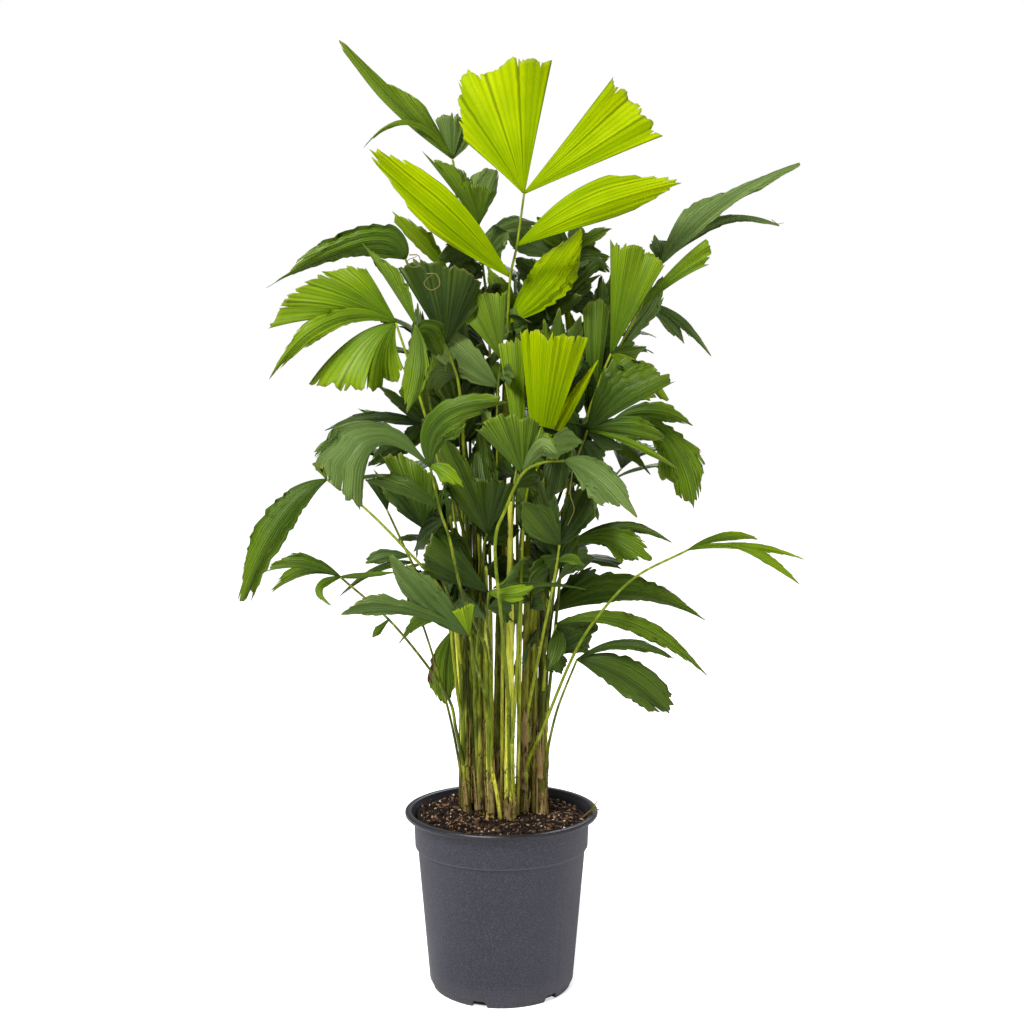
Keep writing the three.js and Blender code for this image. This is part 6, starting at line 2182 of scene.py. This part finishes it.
    def steps(self, leaf: GrownLeaf, reach: np.ndarray, rng: np.random.Generator) -> np.ndarray:
        """Width that one side of a blade keeps where its outer ribs end in steps."""
        count = max(int(0.7 * leaf.length / self.tooth), 2)
        sizes = rng.uniform(0.4, 1.6, count)
        ends = 0.3 + 0.7 * np.concatenate(((0.0,), np.cumsum(sizes))) / sizes.sum()
        deep = self.step * leaf.row.ragged * rng.uniform(0.1, 1.0, count) * np.clip(leaf.width / 22, 0.4, 1)
        knots, kept = [0.0, 0.3], [1.0, 1.0]
        for start, end, loss in zip(ends[:-1], ends[1:], deep):
            knots += [start + 0.004, end]
            kept += [1 - loss, 1.04 - 0.1 * loss]
        return np.interp(reach, knots, kept)

    def inner_leaves(self, frond: GrownFrond, rng: np.random.Generator) -> list:
        """Leaflets of the crown's inside, which point to the back or the front and face the sides."""
        leaves = []
        lowest, highest = self.core_heights
        for _ in range(0 if frond.tone == Tone.LIME else self.inner_count):
            base = frond.curve.at(np.array(rng.uniform(0.55, 0.93)))
            if not lowest < base[2] < highest or abs(base[0]) > self.core_reach:
                continue
            back = 1 if base[1] < -40 or rng.uniform() < 0.6 else -1
            heading = math.radians(rng.normal(0, 22))
            out = np.array((math.sin(heading), back * math.cos(heading), 0.0))
            length = rng.uniform(60, 118)
            tip = base + out * length * 0.9 + UP * length * rng.uniform(-0.45, 0.5)
            width = length * rng.uniform(0.34, 0.5)
            side = 1 if rng.uniform() < 0.5 else -1
            facing = unit(np.array((side * 1.0, 0.0, rng.uniform(0, 0.35))))
            tone = Tone.GREEN if rng.uniform() < 0.15 else Tone.DEEP
            row = Leaflet(0, (0, 0, 0), width, 0, rng.uniform(0.25, 0.75), cuts=(0.35, 0.35), tone=tone)
            leaves.append(GrownLeaf(row, base, tip, UP * 0.14 * length, width, facing, UP))
        return leaves

    def sheath(self, builder: SheetBuilder, frond: GrownFrond, rng: np.random.Generator) -> None:
        """Adds the stalk's sheath, which runs on down along its cane."""
        cane = frond.cane
        foot = frond.curve.at(np.array(0.06))
        top = foot[2] + 4
        low = max(top - rng.uniform(70, 150), cane.foot[2] + 10)
        heights = np.linspace(top, low, self.sheath_rows)
        t = np.array([cane.share(height) for height in heights])
        outward = unit((foot - cane.at(np.array(cane.share(foot[2])))) * (1, 1, 0))
        reach = cane.radius(t) + self.sheath_gap
        girth = np.interp(heights, (low, low + 20, top), (0.5, 1.5, STALK_FOOT_RADIUS * 0.86))
        centre = cane.at(t) + outward * reach[:, None]
        builder.tube(centre[::-1], cane.way(t[::-1]), girth[::-1], 8, rng.uniform(), 0)

    def frond(self, frond: GrownFrond, number: int, finishes: dict) -> None:
        """Builds and dresses one frond."""
        builder = SheetBuilder()
        tones = [frond.tone] + [t for t in Tone if t != frond.tone]
        t = np.linspace(0, 1, frond.curve.count * self.stalk_rows + 1)
        rng = np.random.default_rng(self.frond_seed + number)
        girth = stalk_radius(t) * self.stalk_slimness
        builder.tube(frond.curve.at(t), frond.curve.way(t), girth, self.stalk_sides, rng.uniform(), 0)
        self.sheath(builder, frond, rng)
        inner = self.inner_leaves(frond, np.random.default_rng(self.inner_seed + number))
        for index, leaf in enumerate(frond.leaves + inner):
            tone = leaf.row.tone or frond.tone
            self.leaflet(builder, leaf, self.leaf_seeds * number + index, 1 + tones.index(tone))
        materials = [finishes[key] for key in ("stalk_green", *tones)]
        piece = builder.build(frond.name.replace("frond_", "leaves_"), materials)
        finish_piece(piece, [frond.name])

    def build(self, finishes: dict) -> None:
        """Builds every frond."""
        for number, frond in enumerate(self.grower.grow()):
            self.frond(frond, number, finishes)


@dataclass
class Studio:
    """A pale floor, soft light and the camera. Sizes in metres, the sensor's in millimetres.

    The floor glows in the camera's view, and more the further it lies from the pot, so that it runs
    into the backdrop. lamps holds the name, place, size and power of each.
    """

    floor_size: float = 60.0
    floor_colour: tuple = (0.95, 0.95, 0.95)
    world_colour: tuple = (1.0, 1.0, 1.0)
    world_strength: float = 0.26
    backdrop_strength: float = 1.0
    glow: float = 0.55
    glow_gain: float = 0.45
    glow_reach: tuple = (0.3, 2.5)
    aim_height: float = 0.55
    sensor_width: float = 36.0
    lamps: tuple = (
        ("key_light", (-1.3, -2.0, 2.8), 1.0, 135.0),
        ("fill_light", (2.4, -2.0, 1.6), 1.6, 26.0),
        ("back_light", (0.8, 2.4, 2.6), 1.6, 40.0),
    )

    def floor(self) -> None:
        """Lays the floor."""
        deselect_all()
        bpy.ops.mesh.primitive_plane_add(size=self.floor_size, location=(0, 0, 0))
        floor = bpy.context.active_object
        floor.name = "studio_floor"
        material = bpy.data.materials.new("studio_paper")
        material.use_nodes = True
        kit = NodeKit(material.node_tree)
        shader = material.node_tree.nodes["Principled BSDF"]
        shader.inputs["Base Color"].default_value = (*self.floor_colour, 1)
        shader.inputs["Roughness"].default_value = 1.0
        shader.inputs["Specular IOR Level"].default_value = 0.0
        shader.inputs["Emission Color"].default_value = (1, 1, 1, 1)
        place = kit.node("ShaderNodeTexCoord")
        away = kit.node("ShaderNodeVectorMath", operation="LENGTH")
        kit.join(place.outputs["Object"], away.inputs[0])
        fade = kit.times(kit.ramp(away.outputs["Value"], *self.glow_reach), self.glow_gain)
        rays = kit.node("ShaderNodeLightPath")
        glow = kit.times(kit.math("ADD", fade, self.glow), rays.outputs["Is Camera Ray"])
        kit.join(glow, shader.inputs["Emission Strength"])
        floor.data.materials.append(material)

    def light(self) -> None:
        """Sets the world, which the camera sees paler than it lights, and the soft lamps."""
        world = bpy.data.worlds.new("studio_world")
        world.use_nodes = True
        tree = world.node_tree
        back = tree.nodes["Background"]
        back.inputs["Color"].default_value = (*self.world_colour, 1)
        rays = tree.nodes.new("ShaderNodeLightPath")
        strength = tree.nodes.new("ShaderNodeMapRange")
        strength.inputs["To Min"].default_value = self.world_strength
        strength.inputs["To Max"].default_value = self.backdrop_strength
        tree.links.new(rays.outputs["Is Camera Ray"], strength.inputs["Value"])
        tree.links.new(strength.outputs["Result"], back.inputs["Strength"])
        bpy.context.scene.world = world
        bpy.context.scene.view_settings.view_transform = "Standard"
        for name, place, size, power in self.lamps:
            data = bpy.data.lights.new(name, "AREA")
            data.energy = power
            data.size = size
            lamp = bpy.data.objects.new(name, data)
            lamp.location = place
            aim = Vector((0, 0, self.aim_height)) - Vector(place)
            lamp.rotation_euler = aim.to_track_quat("-Z", "Y").to_euler()
            bpy.context.scene.collection.objects.link(lamp)

    def camera(self) -> None:
        """Stands the camera where the photographed view was taken from."""
        data = bpy.data.cameras.new("studio_camera")
        data.lens = LENS_MM
        data.sensor_width = self.sensor_width
        camera = bpy.data.objects.new("studio_camera", data)
        camera.location = Vector(EYE * MM)
        camera.rotation_euler = (math.pi / 2 - EYE_PITCH, 0, 0)
        bpy.context.scene.collection.objects.link(camera)
        bpy.context.scene.camera = camera


def main() -> None:
    """Builds the classes in order and reports each piece."""
    logging.basicConfig(level=logging.INFO, format="%(message)s")
    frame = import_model()
    effects = SharedEffects()
    finishes = {row.tone: row.make(effects) for row in LEAF_FINISHES}
    finishes.update({name: row.make() for name, row in STALK_FINISHES.items()})
    pot = Pot()
    pot.dress(pot.build(), effects)
    Soil().build(effects)
    grower = Grower(frame["nodes"])
    Canes(grower).build(effects, finishes)
    Shoots().build(effects, finishes)
    Crown(grower).build(finishes)
    studio = Studio()
    studio.floor()
    studio.light()
    studio.camera()


if __name__ == "__main__":
    main()
